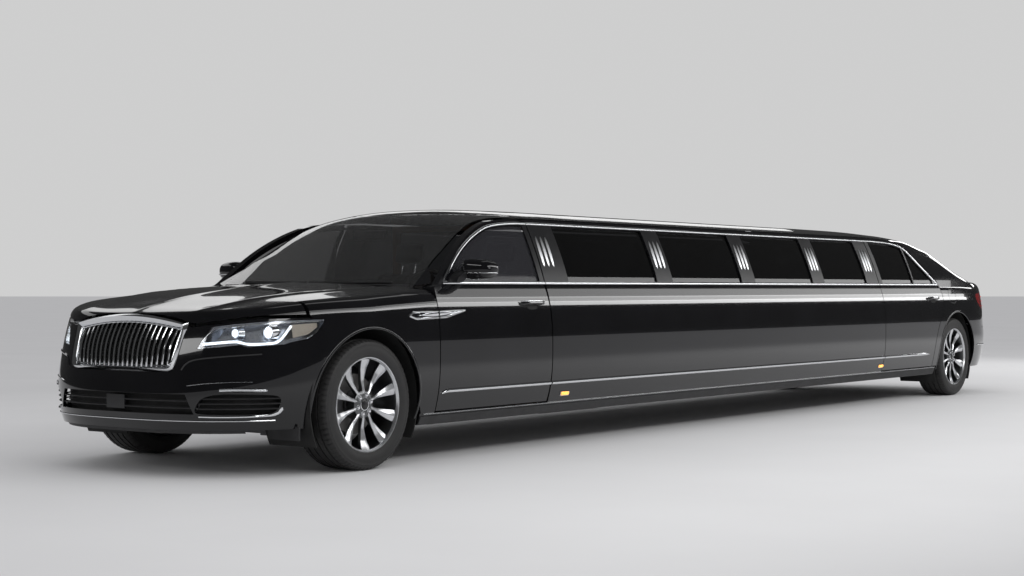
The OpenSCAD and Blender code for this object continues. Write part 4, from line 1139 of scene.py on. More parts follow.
def hinge_arms(front_y: float) -> list[Solid]:
    """The two arms that hold a door."""
    made = []
    for z in (510, 730):
        made.append(Solid.block((872, front_y + 54, z - 6), (940, front_y + 66, z + 6)))
        made.append(Solid.block((872, front_y - 9.5, z - 6), (884, front_y + 54, z + 6)))
    return made


class Panels:
    """The painted body, its glass and its lamps, cut from one outer form."""

    def __init__(self) -> None:
        """Makes the forms that several panels are cut from."""
        self.nose = end_solid(End.NOSE)
        self.tail = end_solid(End.TAIL)
        self.cabin = cabin_solid()

    def nose_shell(self, x: float, y: float, z: float) -> Solid:
        """The nose as a shell of the given thicknesses."""
        return self.nose.copy().cut(end_solid(End.NOSE, x, y, z))

    def tail_shell(self, x: float, y: float, z: float) -> Solid:
        """The tail as a shell."""
        return self.tail.copy().cut(end_solid(End.TAIL, x, y, z))

    def cabin_shell(self, x: float, z: float) -> Solid:
        """The upper cabin as a shell."""
        return self.cabin.copy().cut(cabin_solid(x, z))

    def hood(self) -> None:
        """The hood and its two hinge necks."""
        top = self.nose_shell(16, 16, 26).meet(hood_plan()).meet(above_lamps(FORM.gap))
        y, z, drop = float(FORM.hood_rear(890)) + 17, 960, 70
        neck = [(y - 102, z + 8), (y - 102, z - drop - 10), (y + 12, z - drop - 10), (y + 12, z + 8), (y - 12, z + 8),
                (y - 12, z - drop + 14), (y - 82, z - drop + 14), (y - 82, z + 8)]
        for x in (700, -712):
            top.add(Solid.prism(neck, 0, x, x + 12))
        dress(top.obj, "hood_panel", Finish.PAINT, "hood", stands_for=["hood"])

    def fenders(self) -> None:
        """Both front fenders."""
        plan = [(float(FORM.hood_side(y)) + FORM.gap, y) for y in between(600, -430, 60)]
        plan += [(600, -430), (600, -700), (1100, -700), (1100, 600)]
        y1, low = FORM.front_door[0] - FORM.gap, FORM.door_z - FORM.gap + FIT
        side = [(-350, 560), (-350, 760), (-410, 842), (-410, 1000), (y1, 1000), (y1, low), (446, low), (300, 560)]
        left = self.nose_shell(16, 16, 16).meet(Solid.prism(side, 0, 0, 966)).meet(Solid.prism(plan, 2, 200, 1200))
        left.cut(lamp_space(-FIT)).cut(Solid.wheel_hole(0))
        right = left.flipped()
        dress(joined("fenders", [left.obj, right.obj]), "fender_panels", Finish.PAINT, stands_for=["front_fenders"])

    def bumper(self) -> None:
        """The front bumper with its three intakes."""
        side = [(-1100, 250), (-350.3, 250), (-350.3, 757), (-412, 841), (-1100, 900)]
        skin = self.nose_shell(16, 16, 16).meet(Solid.prism(side, 0, -EDGE, EDGE)).cut(above_lamps(-12))
        lamp = lamp_space(-FIT)
        skin.cut(lamp.flipped()).cut(lamp).cut(Solid.prism(grille_outline(-FIT), 1, -1010, -600))
        middle = [(-470, 436), (470, 436), (512, 334), (-512, 334)]
        outer = smooth_path([(566, 440), (796, 436), (836, 420), (812, 338), (790, 332), (540, 332), (508, 350)],
                            30.0, 2, closed=True)
        for opening in (middle, outer, [(-x, z) for x, z in outer[::-1]]):
            skin.cut(Solid.prism(opening, 1, -1010, -560))
        skin.cut(Solid.wheel_hole(0))
        dress(skin.obj, "front_bumper_skin", Finish.PAINT, stands_for=["front_bumper"])
        back = self.nose_shell(70, 70, 70).cut(self.nose_shell(46, 46, 46))
        back.meet(Solid.block((-850, -1000, 300), (850, -500, 470)))
        dress(back.obj, "intake_backing", Finish.LINER)

    def headlamps(self) -> None:
        """Clear lenses over deep dark bowls."""
        lens = self.nose_shell(4, 4, 4).meet(lamp_space(0))
        dress(joined("lens", [lens.obj, lens.flipped().obj]), "headlamp_lenses", Finish.LENS,
              stands_for=["headlamps"])
        bowl = end_solid(End.NOSE, 5, 5, 5).cut(end_solid(End.NOSE, 90, 90, 62)).meet(lamp_space(0.5))
        room = self.nose_shell(62, 62, 50).meet(lamp_space(4))
        bowl.cut(room)
        dress(joined("bowl", [bowl.obj, bowl.flipped().obj]), "headlamp_bowls", Finish.DARK_CHROME)

    def roof(self) -> None:
        """The roof with its front and rear pillars, and the fixed glass in it."""
        shell = self.cabin_shell(26, 26).meet(behind_hood(10)).meet(before_lid(11.5))
        shell.meet(Solid.block((-956, 0, 975), (956, 9220, 2000)))
        shell.cut(shield_space(0)).cut(rear_space(0)).cut(self.tail, keep=True)
        up = [(500, 942), (500, float(FORM.window_top(600)) + 32), (573, float(FORM.window_top(600)) + 32)]
        up += [(y, float(FORM.window_top(y)) + 32) for y in between(614, 1750, 70)]
        up += [(6700, FORM.rail + 32)] + [(y, float(FORM.window_top(y)) + 32) for y in between(7000, 7770, 60)]
        shell.cut(Solid.prism(up + [(7800, 942)], 0, -EDGE, EDGE))
        dress(shell.obj, "roof_panel", Finish.PAINT, stands_for=["roof"])
        glass = self.cabin_shell(5, 7).meet(shield_space(FIT)).meet(behind_hood(12))
        glass.meet(Solid.block((-956, 0, 975), (956, 1700, 2000)))
        dress(glass.obj, "windshield_glass", Finish.CLEAR, stands_for=["windshield"])
        dress(self.cabin_shell(5, 7).meet(rear_space(FIT)).obj, "rear_window_glass", Finish.DARK,
              stands_for=["rear_window"])

    def sides(self) -> None:
        """The stretched sides with their sills, pillars and fixed glass."""
        y0, y1 = FORM.stretch
        side = wall(y0, y1, FORM.door_z - FORM.gap, FORM.rail + 22)
        for a, b in FORM.long_windows():
            side.cut(Solid.prism(window_outline(a, b), 0, 0, 966))
        sill = wall(438, 7662, FORM.sill, FORM.door_z - FORM.gap)
        left = joined("side", [side.obj, sill.obj] + [arm.obj for arm in hinge_arms(FORM.rear_door[0])])
        right = twin_over(left)
        dress(left, "left_side_panel", Finish.PAINT, stands_for=["left_body_side"])
        dress(right, "right_side_panel", Finish.PAINT, stands_for=["right_body_side"])
        panes = [pane(a, b) for a, b in FORM.long_windows()]
        panes += [one.flipped() for one in panes]
        dress(joined("glass", [one.obj for one in panes]), "long_side_glass", Finish.DARK, stands_for=["side_glass"])

    def doors(self) -> None:
        """The four doors and their glass."""
        for which, (y0, y1), outline, windows, end in (
                ("front", FORM.front_door, front_outline(), ((788, 1615),), FORM.front_door[1]),
                ("rear", FORM.rear_door, rear_outline(), ((6600, 7232), (7262, 7664)), FORM.wheelbase - 298)):
            leaf = wall(y0, end, FORM.door_z, FORM.rail + 22).meet(Solid.prism(outline, 0, 0, 966))
            leaf.meet(Solid.prism([(966, y0), (966, end + 2), (620, end - 87.4), (620, y0)], 2, 0, 2000))
            for z in (510, 730):
                leaf.cut(Solid.block((836, y0 - 1, z - 6.5), (945.5, y0 + 74, z + 6.5)))
            for a, b in windows:
                leaf.cut(Solid.prism(window_outline(a, b), 0, 0, 966))
            panes = joined("panes", [pane(a, b).obj for a, b in windows])
            tint = Finish.TINT if which == "front" else Finish.DARK
            for side, sign in SIDES:
                body = f"{side}_{which}_door"
                skin, glass = leaf.obj, panes
                if sign < 0:
                    skin, glass = twin_over(leaf.obj), twin_over(panes)
                dress(skin, f"{body}_panel", Finish.PAINT, body, stands_for=[body])
                dress(glass, f"{body}_panes", tint, body, stands_for=[f"{body}_glass"])

    def rear_end(self) -> None:
        """Quarter panels, trunk lid, rear bumper and tail lamps."""
        axle = FORM.wheelbase

        def lid_space(g: float) -> Solid:
            """The trunk lid's room, grown by g."""
            room = Solid.block((-700 - g, axle + 500, 650 - g), (700 + g, 9230, 1300)).cut(before_lid(g))
            for x0, x1 in ((490 + g, 956), (-956, -490 - g)):
                room.cut(Solid.block((x0, axle + 500, 630), (x1, 9240, 941 - g)))
            return room.cut(Solid.block((-956, axle + 400, 610), (956, axle + 880, 960 - g)))

        def lamp_corner(g: float) -> Solid:
            """The left tail lamp's room, shrunk by g."""
            outline = smooth_path([(axle + 480 + g, 900 - g), (axle + 520 + g, 935 - g), (9230, 935 - g),
                                   (9230, 772 + g), (axle + 700, 772 + g), (axle + 560 + g, 800 + g)], 40.0, 2,
                                  closed=True)
            return Solid.prism(outline, 0, 497.5 + g, 966)

        quarter = self.tail_shell(16, 16, 16)
        room = Solid.block((0, axle - 700, FORM.door_z), (966, axle + 60, FORM.belt - FIT))
        room.add(Solid.block((0, axle + 59.7, 632), (966, 9230, 1300)))
        room.add(Solid.block((0, axle, 450), (966, axle + FORM.arch_r + 30, 633)))
        quarter.meet(room).cut(lid_space(FORM.gap)).cut(lamp_corner(-FIT))
        quarter.cut(Solid.block((-10, axle - 800, 900), (640, float(FORM.lid_front(640)) - FORM.gap, 1300)))
        quarter.cut(Solid.prism(rear_outline(FORM.gap), 0, -966, 966)).cut(Solid.wheel_hole(axle))
        dress(joined("quarters", [quarter.obj, quarter.flipped().obj]), "quarter_panels", Finish.PAINT,
              stands_for=["rear_quarters"])
        lid = self.tail_shell(26, 26, 26).meet(lid_space(0))
        lid = joined("lid", [lid.obj] + [Solid.block((x, axle + 545, 995), (x + 12, axle + 660, 1030)).obj
                                         for x in (600, -612)])
        dress(lid, "trunk_lid_panel", Finish.PAINT, "trunk_lid", stands_for=["trunk_lid"])
        skin = self.tail_shell(16, 16, 16)
        low = Solid.block((-966, axle + 442.3, 250), (966, 9230, 631.7))
        low.add(Solid.block((-966, axle + 300, 250), (966, axle + 443, 449.7)))
        skin.meet(low).cut(Solid.wheel_hole(axle))
        dress(skin.obj, "rear_bumper_skin", Finish.PAINT, stands_for=["rear_bumper"])
        lamp = self.tail_shell(40, 40, 40).meet(lamp_corner(0))
        dress(joined("lamps", [lamp.obj, lamp.flipped().obj]), "tail_lamp_lenses", Finish.RED,
              stands_for=["tail_lamps"])

    def build(self) -> None:
        """Makes every panel."""
        for make in (self.hood, self.fenders, self.bumper, self.headlamps, self.roof, self.sides, self.doors,
                     self.rear_end):
            make()
        for form in (self.nose, self.tail, self.cabin):
            form.drop()


# ---------------------------------------------------------------- trim on the body
class Trim:
    """Bright trim, shut lines, lamps' inner parts and grilles."""

    def build(self) -> None:
        """Makes all of the trim."""
        for make in (self.windows, self.pillars, self.sills, self.vents, self.handles, self.mirrors, self.grille,
                     self.lamps, self.intakes, self.markers, self.tail, self.liners, self.wipers):
            make()

    def _both(self, pieces: Sequence[bpy.types.Object], name: str, finish: Finish,
              body: str = "body", **settings: object) -> None:
        """Dresses left pieces and their mirror images, on one body or on the door of each side."""
        left = joined(name, list(pieces))
        right = twin_over(left)
        if body == "body":
            dress(joined(name, [left, right]), name, finish, **settings)
        else:
            dress(left, f"left_{name}", finish, f"left_{body}", **settings)
            dress(right, f"right_{name}", finish, f"right_{body}", **settings)

    def windows(self) -> None:
        """Bright lines along the belt and over the windows, split at the doors."""
        y0, y1 = FORM.stretch
        f0, f1 = FORM.front_door
        r0, r1 = FORM.rear_door
        low = FORM.belt + 8
        top = lambda y: float(FORM.window_top(y)) - 4

        def line(path: list[Flat]) -> bpy.types.Object:
            """One bright line on the side."""
            return trim(Skin.SIDE, path, 17, 5, Profile.STRIP)

        start = next(y for y in range(600, 900) if top(y) > low + 10)
        arc = [(float(start) - 6, low)] + [(y, top(y)) for y in between(start, f1, 70)]
        self._both([line([(y, low) for y in between(start - 10, f1, 20)]), line(arc)], "front_door_brights",
                   Finish.CHROME, "front_door")
        self._both([line([(y, low) for y in between(y0, y1, 60)]), line([(y, top(y)) for y in between(y0, y1, 60)])],
                   "long_side_brights", Finish.CHROME)
        end = next(y for y in range(7900, 7300, -1) if top(y) > low + 10)
        arc = [(y, top(y)) for y in between(r0, end, 80)] + [(float(end) + 6, low)]
        self._both([line([(y, low) for y in between(r0, end + 10, 30)]), line(arc)], "rear_door_brights",
                   Finish.CHROME, "rear_door")

    def pillars(self) -> None:
        """Satin panels between the windows, each with three bright slats."""
        spans = [(FORM.stretch[0] + 3, FORM.stretch[0] + 262 - 4)]
        windows = FORM.long_windows()
        spans += [(a[1] + 4, b[0] - 4) for a, b in zip(windows, windows[1:])]
        spans += [(windows[-1][1] + 4, FORM.stretch[1] - 3)]
        low = lambda y: FORM.belt + 18
        high = lambda y: float(FORM.window_top(y)) - 14
        self._both([patch(Skin.SIDE, between(a, b, 8), low, high, 14, 1.2, 3) for a, b in spans],
                   "pillar_panels", Finish.SATIN)
        door = patch(Skin.SIDE, between(1617, 1661, 4), low, high, 14, 1.2, 3)
        self._both([door], "door_pillar_panels", Finish.SATIN, "front_door")
        parts = [patch(Skin.SIDE, between(a, b, 3), low, high, 14, 1.2, 3) for a, b in ((6532, 6598), (7234, 7260))]
        self._both(parts, "rear_door_pillar_panels", Finish.SATIN, "rear_door")
        slats = []
        for i, (a, b) in enumerate(spans):
            middle = (a + b) / 2 - (35 if i == 0 else 0)
            for k in (-1, 0, 1):
                path = [(middle + k * 50 + (z - 1204) * 0.04, z) for z in between(1112, 1298, 24)]
                ease = [max(0.12, math.sin(math.pi * min(1, max(0, u))) ** 0.35) for u in between(0.01, 0.99, 24)]
                slats.append(trim(Skin.SIDE, path, [30 * e for e in ease], [9 * e for e in ease], Profile.RIDGE))
        self._both(slats, "pillar_slats", Finish.MACHINED)

    def sills(self) -> None:
        """The raised bright strip along the doors and the thin line on the sill under it."""
        z = lambda y: 398.0
        for name, a, b, body in (("front_door_sill_strip", 592, 1660, "front_door"),
                                 ("long_sill_strip", FORM.stretch[0] + 2, FORM.stretch[1] - 2, "body"),
                                 ("rear_door_sill_strip", 6532, 7462, "rear_door")):
            path = [(y, z(y)) for y in between(a, b, max(12, int((b - a) / 60)))]
            first = name.startswith("front")
            widths = [22.0] * len(path)
            if first:
                path = [(592, 384), (600, 388), (640, 396)] + [p for p in path if p[0] > 645]
                widths = [4, 12, 20] + [22.0] * (len(path) - 3)
            if name.startswith("rear"):
                widths[-1], widths[-2] = 5, 20
            self._both([trim(Skin.SIDE, path, widths, 9, Profile.STRIP)], name, Finish.CHROME, body)
        thin = trim(Skin.SIDE, [(y, 274) for y in between(470, 7640, 130)], 7, 5, Profile.STRIP)
        self._both([thin], "sill_bright_line", Finish.CHROME)
        guard = patch(Skin.SIDE, between(445, 7655, 90), lambda y: 216, lambda y: 262, 3, 5, 6)
        self._both([guard], "sill_guards", Finish.PLASTIC)

    def vents(self) -> None:
        """The pointed bright outline across the fender and the front door."""
        def blade(a: float, b: float) -> list[bpy.types.Object]:
            """The part of the outline and its inner blade between two stations."""
            upper = [(310, 826), (350, 845), (812, 852)]
            lower = [(310, 826), (372, 808), (640, 816), (812, 852)]
            made = []
            for corners, width in ((upper, 12), (lower, 12)):
                ys = [y for y in between(a, b, 24)]
                path = [(y, float(np.interp(y, [c[0] for c in corners], [c[1] for c in corners]))) for y in ys]
                made.append(trim(Skin.SIDE, path, width, 7, Profile.RIDGE))
            inner = [(y, float(np.interp(y, (372, 760), (826, 842)))) for y in between(max(a, 380), min(b, 745), 20)]
            made.append(trim(Skin.SIDE, inner, [max(4, 21 * math.sin(math.pi * min(1, max(0.05, (y - 360) / 400))))
                                                for y, _ in inner], 5, Profile.RIDGE))
            return made
        self._both(blade(312, 564), "fender_vent_brights", Finish.CHROME)
        self._both(blade(575, 810), "door_vent_brights", Finish.CHROME, "front_door")

    def handles(self) -> None:
        """Door handles over dished recesses, each with a bright upper edge."""
        for body, a, b in (("front_door", 1345, 1605), ("rear_door", 7440, 7690)):
            z = 884
            path = smooth_path([(a, z - 1), (a + 60, z + 2), (b - 60, z + 2), (b, z - 1)], 8, 2)
            middle = (a + b) / 2
            reach = [max(2.0, 34 * (1 - abs((y - middle) / (b - a) * 2) ** 5)) for y, _ in path]
            thick = [max(7, 24 * (1 - abs((y - middle) / (b - a) * 2) ** 6)) for y, _ in path]
            grip = trim(Skin.SIDE, path, thick, reach, Profile.STRIP)
            self._both([grip], f"{body}_handle", Finish.PAINT, body)
            points, normals = Skin.SIDE.at([(y, z + 10) for y, _ in path[2:-2]], 0)
            lifted = points + normals * (np.array(reach[2:-2])[:, None] - 5)
            self._both([ribbon(lifted, normals, 5, 6, Profile.STRIP)], f"{body}_handle_bright", Finish.CHROME, body)
            ring = smooth_path([(middle - 66, z), (middle - 50, z - 34), (middle + 50, z - 34), (middle + 66, z),
                                (middle + 50, z + 16), (middle - 50, z + 16)], 8, 3, closed=True)
            lip = trim(Skin.SIDE, ring, 3, 1.2, Profile.STRIP, closed=True)
            dip = lambda y: math.sqrt(max(0.0, 1 - ((y - middle) / 60) ** 2))
            bowl = patch(Skin.SIDE, between(middle - 60, middle + 60, 24), lambda y: z - 34 * dip(y),
                         lambda y: z + 16 * dip(y) + 0.5, 6, 0.8, 2)
            self._both([lip, bowl], f"{body}_handle_bowl", Finish.LINER, body)

    def mirrors(self) -> None:
        """Rounded mirror housings with a bright line and a glass face."""
        centre = np.array((1003.0, 872.0, 1087.0))
        size = np.array((100.0, 62.0, 58.0))
        bpy.ops.object.select_all(action="DESELECT")
        bpy.ops.mesh.primitive_uv_sphere_add(segments=64, ring_count=40, radius=1)
        shell = bpy.context.object
        for v in shell.data.vertices:
            d = np.array(v.co)
            power = np.sign(d) * np.abs(d) ** 0.62
            p = centre + power * size
            if power[1] > 0.55:
                p[1] = centre[1] + (0.55 + (power[1] - 0.55) * 0.25) * size[1]
            p[1] += (p[0] - centre[0]) * 0.16
            p[2] -= 0.08 * (p[0] - centre[0]) * (1 if d[2] > 0 else -0.6)
            v.co = Vector(to_frame([p])[0])
        shell.data.update()
        foot = Solid.prism([(715, 1012), (770, 1012), (842, 1060), (835, 1078), (800, 1078), (730, 1038)],
                           0, 884, 958)
        self._both([foot.obj], "mirror_foot", Finish.SATIN, "front_door")
        glass = turned((1004.0, 915.0, 1088.0), [(0, 0.001), (0, 42), (3, 44), (6, 42), (6, 0.001)], "Y", 48)
        for v in glass.data.vertices:
            c = to_frame([(1004, 915, 1088)])[0]
            v.co.x = c[0] + (v.co.x - c[0]) * 1.75
            v.co.y += (v.co.x - c[0]) * 0.16
        self._both([glass], "mirror_glass", Finish.DARK_CHROME, "front_door")
        line = []
        for t in between(math.radians(-190), math.radians(10), 40):
            p = centre + np.array((abs(math.cos(t)) ** 0.62 * np.sign(math.cos(t)),
                                   -abs(math.sin(t)) ** 0.62 if math.sin(t) < 0 else 0.2, -0.36)) * (size + 1.5)
            p[1] += (p[0] - centre[0]) * 0.16
            line.append(p)
        pts = np.array(line)
        normals = pts - centre
        normals[:, 2] = 0
        normals /= np.linalg.norm(normals, axis=1, keepdims=True)
        self._both([ribbon(pts, normals, 5, 3, Profile.STRIP)], "mirror_bright", Finish.CHROME, "front_door")
        right = twin_over(shell)
        dress(shell, "left_mirror_shell", Finish.PAINT, "left_front_door", stands_for=["left_mirror"], smooth=60)
        dress(right, "right_mirror_shell", Finish.PAINT, "right_front_door", stands_for=["right_mirror"], smooth=60)

    def grille(self) -> None:
        """The bright frame and its curved upright bars, over a dark screen."""
        ring = np.array(grille_outline(13))
        keep = [0]
        for i in range(1, len(ring)):
            if np.hypot(*(ring[i] - ring[keep[-1]])) > 6:
                keep.append(i)
        ring = ring[keep]
        top = np.clip((ring[:, 1] - 740) / 60, 0, 1)
        frame_piece = trim(Skin.NOSE, [tuple(p) for p in ring], list(24 + 14 * top), list(20 + 6 * top),
                           Profile.RIDGE, closed=True, lift=-4)
        inner = trim(Skin.NOSE, [tuple(p) for p in np.array(grille_outline(34))[::2]], 10, 10, Profile.STRIP,
                     closed=True, lift=-14)
        dress(joined("surround", [frame_piece, inner]), "grille_surround", Finish.CHROME, stands_for=["grille"])
        bars = []
        for i in range(20):
            x0 = (i - 9.5) * 37.5
            z1 = 838 - 30 - 44 * (x0 / 420) ** 2
            path = [(x0 * (0.955 + 0.045 * (z - 574) / 200), z) for z in between(570, z1, 18)]
            points, normals = Skin.NOSE.at(path, 0)
            bulge = np.sin(np.linspace(0.15, math.pi - 0.1, len(path)))
            points[:, 1] += 26 - 20 * bulge
            bars.append(ribbon(points, normals, 12, 10, Profile.BLADE))
        dress(joined("bars", bars), "grille_bars", Finish.CHROME)
        rails = []
        for z in between(590, 780, 12):
            points, normals = Skin.NOSE.at([(x, z) for x in between(-375, 375, 30)], 0)
            points[:, 1] += 60
            rails.append(ribbon(points, normals, 4, 6, Profile.STRIP))
        dress(joined("rails", rails), "grille_screen", Finish.PLASTIC)
        points, normals = Skin.NOSE.at([(x, 690) for x in between(-395, 395, 24)], 0)
        points[:, 1] += 96
        dress(ribbon(points, normals, 290, 6, Profile.STRIP), "grille_backing", Finish.LINER)

    def lamps(self) -> None:
        """Light strips, projectors and markers inside the headlamps."""
        strip = smooth_path([(520, 694), (560, 697), (664, 708), (688, 704), (714, 692), (800, 694), (822, 708),
                             (842, 784)], 8, 2)
        inner = smooth_path([(512, 690), (536, 735), (566, 768)], 10, 2)
        upper = smooth_path([(566, 768), (650, 783), (752, 795), (840, 803), (898, 806)], 12, 2)
        self._both([trim(Skin.NOSE, strip, 12, 8, Profile.STRIP, lift=-14)], "headlamp_light_strip",
                   Finish.WHITE_LIGHT)
        edges = [trim(Skin.NOSE, upper, 8, 6, Profile.STRIP, lift=-8),
                 trim(Skin.NOSE, inner, 7, 6, Profile.STRIP, lift=-8),
                 trim(Skin.NOSE, [(x, z - 11) for x, z in strip if x < 800], 4, 5, Profile.STRIP, lift=-8)]
        self._both(edges, "headlamp_brights", Finish.CHROME)
        rings, eyes = [], []
        for x, z, r in ((640, 746, 24), (768, 750, 32)):
            (spot,), _ = Skin.NOSE.at([(x, z)], -60)
            back = float(spot[1])
            rings.append(turned((x, back, z), [(26, r + 12), (-10, r + 3), (-10, r - 3), (20, r + 2)], "Y", 48))
            eyes.append(turned((x, back, z), [(12, 0.01), (12, r), (-4, r * 0.96), (-16, r * 0.75), (-23, r * 0.4),
                                              (-25, 0.01)], "Y", 48))
        self._both(rings, "projector_rings", Finish.CHROME)
        self._both(eyes, "projector_lenses", Finish.WHITE_LIGHT, smooth=60)
        ys = between(-510, -378, 14)
        low = lambda y: float(np.interp(y, (-510, -430, -378), (722, 740, 776)))
        high = lambda y: float(np.interp(y, (-510, -378), (790, 798)))
        marker = patch(Skin.SIDE, ys, low, high, 6, -7, 4)
        self._both([marker], "headlamp_markers", Finish.MARKER_WHITE)

    def intakes(self) -> None:
        """Bars, bright lines and fog strips of the bumper's intakes."""
        bars = []
        for z in (366, 402):
            points, normals = Skin.NOSE.at([(x, z) for x in between(-498, 498, 50)], 0)
            points[:, 1] += 18
            bars.append(ribbon(points, normals, 9, 12, Profile.STRIP))
        for z in (362, 388, 414):
            for sign in (1, -1):
                points, normals = Skin.NOSE.at([(sign * x, z) for x in between(530, 820, 20)], 0)
                points[:, 1] += 18
                bars.append(ribbon(points, normals, 8, 12, Profile.STRIP))
        dress(joined("bars", bars), "intake_bars", Finish.PLASTIC)
        cover = patch(Skin.NOSE, between(-70, 70, 6), lambda x: 352, lambda x: 424, 4, -6, 12)
        dress(cover, "intake_cover", Finish.SATIN)
        blade = smooth_path([(536, 324), (640, 322), (770, 324), (812, 334), (828, 368)], 12, 2)
        widths = [12 + 16 * max(0, min(1, (p[0] - 775) / 50)) for p in blade]
        widths[-1], widths[-2] = 4, 12
        upper = smooth_path([(480, 480), (560, 492), (680, 500), (752, 500)], 14, 2)
        crease = smooth_path([(436, 560), (452, 590), (490, 614), (600, 628), (772, 643)], 14, 3)
        self._both([trim(Skin.NOSE, blade, widths, 9, Profile.STRIP)], "intake_blades", Finish.CHROME)
        self._both([trim(Skin.NOSE, upper, 5, 4, Profile.RIDGE)], "fog_bright_lines", Finish.CHROME)
        self._both([trim(Skin.NOSE, crease, 12, 6, Profile.RIDGE)], "bumper_creases", Finish.PAINT)
        fog = smooth_path([(632, 457), (700, 460), (796, 455)], 12, 2)
        self._both([trim(Skin.NOSE, fog, [22] * (len(fog) - 2) + [14, 5], 8, Profile.STRIP)], "fog_lamps",
                   Finish.LENS)
        self._both([trim(Skin.NOSE, fog, 9, 3, Profile.STRIP)], "fog_reflectors", Finish.CHROME)
        lip = trim(Skin.NOSE, [(x, 300) for x in between(-800, 800, 90)], 7, 5, Profile.STRIP)
        dress(lip, "bumper_lip_bright", Finish.CHROME)
        dam = patch(Skin.NOSE, between(-700, 700, 60), lambda x: 224, lambda x: 256, 3, -22, 8)
        dress(dam, "air_dam", Finish.PLASTIC)
        flap = Solid.block((640, -478, 188), (860, -466, 262))
        self._both([flap.obj], "wheel_flaps", Finish.PLASTIC)

    def markers(self) -> None:
        """Amber side markers low on the long side, and the fuel flap."""
        made, base = [], []
        for y in (1830, 6480):
            path = [(v, 326) for v in between(y - 38, y + 38, 8)]
            made.append(trim(Skin.SIDE, path, 24, 9, Profile.STRIP))
            base.append(trim(Skin.SIDE, [(v, 326) for v in between(y - 46, y + 46, 8)], 32, 5, Profile.STRIP))
        self._both(made, "side_markers", Finish.AMBER_LIGHT)
        self._both(base, "side_marker_bases", Finish.CHROME)
        ring = [(8025 + 80 * math.cos(a) * (1 + 0.12 * math.sin(2 * a) ** 2), 905 + 62 * math.sin(a)
                 * (1 + 0.12 * math.sin(2 * a) ** 2)) for a in np.linspace(0, 2 * math.pi, 65)[:-1]]
        dress(trim(Skin.SIDE, ring, 3, 0.9, Profile.STRIP, closed=True), "fuel_flap_edge", Finish.SATIN)

    def tail(self) -> None:
        """Bright and lit lines of the tail lamps, trunk lid and rear bumper."""
        axle = FORM.wheelbase
        lines = [trim(Skin.TAIL, [(x, z) for x in between(503, 880, 30)], 7, 5, Profile.STRIP, lift=0)
                 for z in (812, 856, 898)]
        self._both(lines, "tail_lamp_lines", Finish.RED_LIGHT)
        bar = trim(Skin.TAIL, [(x, 752) for x in between(-470, 470, 40)], 24, 10, Profile.STRIP)
        dress(bar, "trunk_bright_bar", Finish.CHROME, "trunk_lid")
        low = [trim(Skin.SIDE, [(y, 452) for y in between(axle + 470, axle + 900, 20)], 12, 6, Profile.STRIP)]
        self._both(low, "rear_corner_brights", Finish.CHROME)
        line = trim(Skin.TAIL, [(x, 352) for x in between(-860, 860, 80)], 12, 8, Profile.STRIP)
        dress(line, "rear_bumper_bright", Finish.CHROME)
        panel = patch(Skin.TAIL, between(-640, 640, 50), lambda x: 262, lambda x: 336, 4, 4, 8)
        dress(panel, "rear_diffuser", Finish.PLASTIC)
        tips = []
        for sign in (1, -1):
            ring = smooth_path([(sign * 430, 296), (sign * 600, 296), (sign * 612, 330), (sign * 440, 330)], 12, 2,
                               closed=True)
            tips.append(trim(Skin.TAIL, ring, 9, 12, Profile.STRIP, closed=True, lift=2))
        dress(joined("tips", tips), "exhaust_finishers", Finish.CHROME)
        recess = patch(Skin.TAIL, between(-190, 190, 20), lambda x: 660, lambda x: 736, 4, 1.5, 4)
        dress(recess, "plate_recess", Finish.SATIN, "trunk_lid")
        ears = [trim(Skin.TAIL, [(x, 560) for x in between(700, 870, 16)], 26, 5, Profile.STRIP)]
        self._both(ears, "rear_reflectors", Finish.RED)

    def liners(self) -> None:
        """Wheelhouse liners and rolled arch lips."""
        for name, y in (("front", 0.0), ("rear", FORM.wheelbase)):
            low, high = (-28, 208) if name == "front" else (-30, 210)
            profile, n = [], 44
            for i in range(n + 1):
                a = math.radians(low + (high - low) * i / n)
                profile.append((y + 431 * math.cos(a), FORM.wheel_r + 431 * math.sin(a)))
            outer = [(y + 436 * math.cos(math.radians(low + (high - low) * i / n)),
                      FORM.wheel_r + 436 * math.sin(math.radians(low + (high - low) * i / n)))
                     for i in range(n, -1, -1)]
            arch = Solid.prism(profile + outer, 0, 560, 900)
            self._both([arch.obj], f"{name}_wheelhouse", Finish.LINER)
            path, normals = [], []
            for i in range(61):
                a = math.radians(-14 + 208 * i / 60)
                v = (y + 413 * math.cos(a), FORM.wheel_r + 413 * math.sin(a))
                path.append(v)
            lip = trim(Skin.SIDE, path, 14, 2.2, Profile.STRIP)
            self._both([lip], f"{name}_arch_lips", Finish.PAINT)

    def wipers(self) -> None:
        """Wiper arms and blades parked at the cowl, and the cowl's grained cover."""
        made = []
        for x0, x1 in ((620, 60), (40, -520)):
            path = [(x0 + (x1 - x0) * u, 0.0) for u in between(0, 1, 24)]
            points = []
            for x, _ in path:
                y = float(FORM.hood_rear(x)) + 62
                points.append((x, y, float(FORM.roof(x, y)) + 5))
            normals = np.tile((0.0, -0.5, 0.86), (len(points), 1))
            made.append(ribbon(np.array(points), normals, 12, 9, Profile.RIDGE))
        dress(joined("wipers", made), "wipers", Finish.PLASTIC)
        lower = lambda x: float(FORM.hood_rear(x)) + 14
        cowl = patch(Skin.ROOF, between(-740, 740, 60), lower, lambda x: lower(x) + 34, 3, 2, 3)
        dress(cowl, "cowl_cover", Finish.PLASTIC)


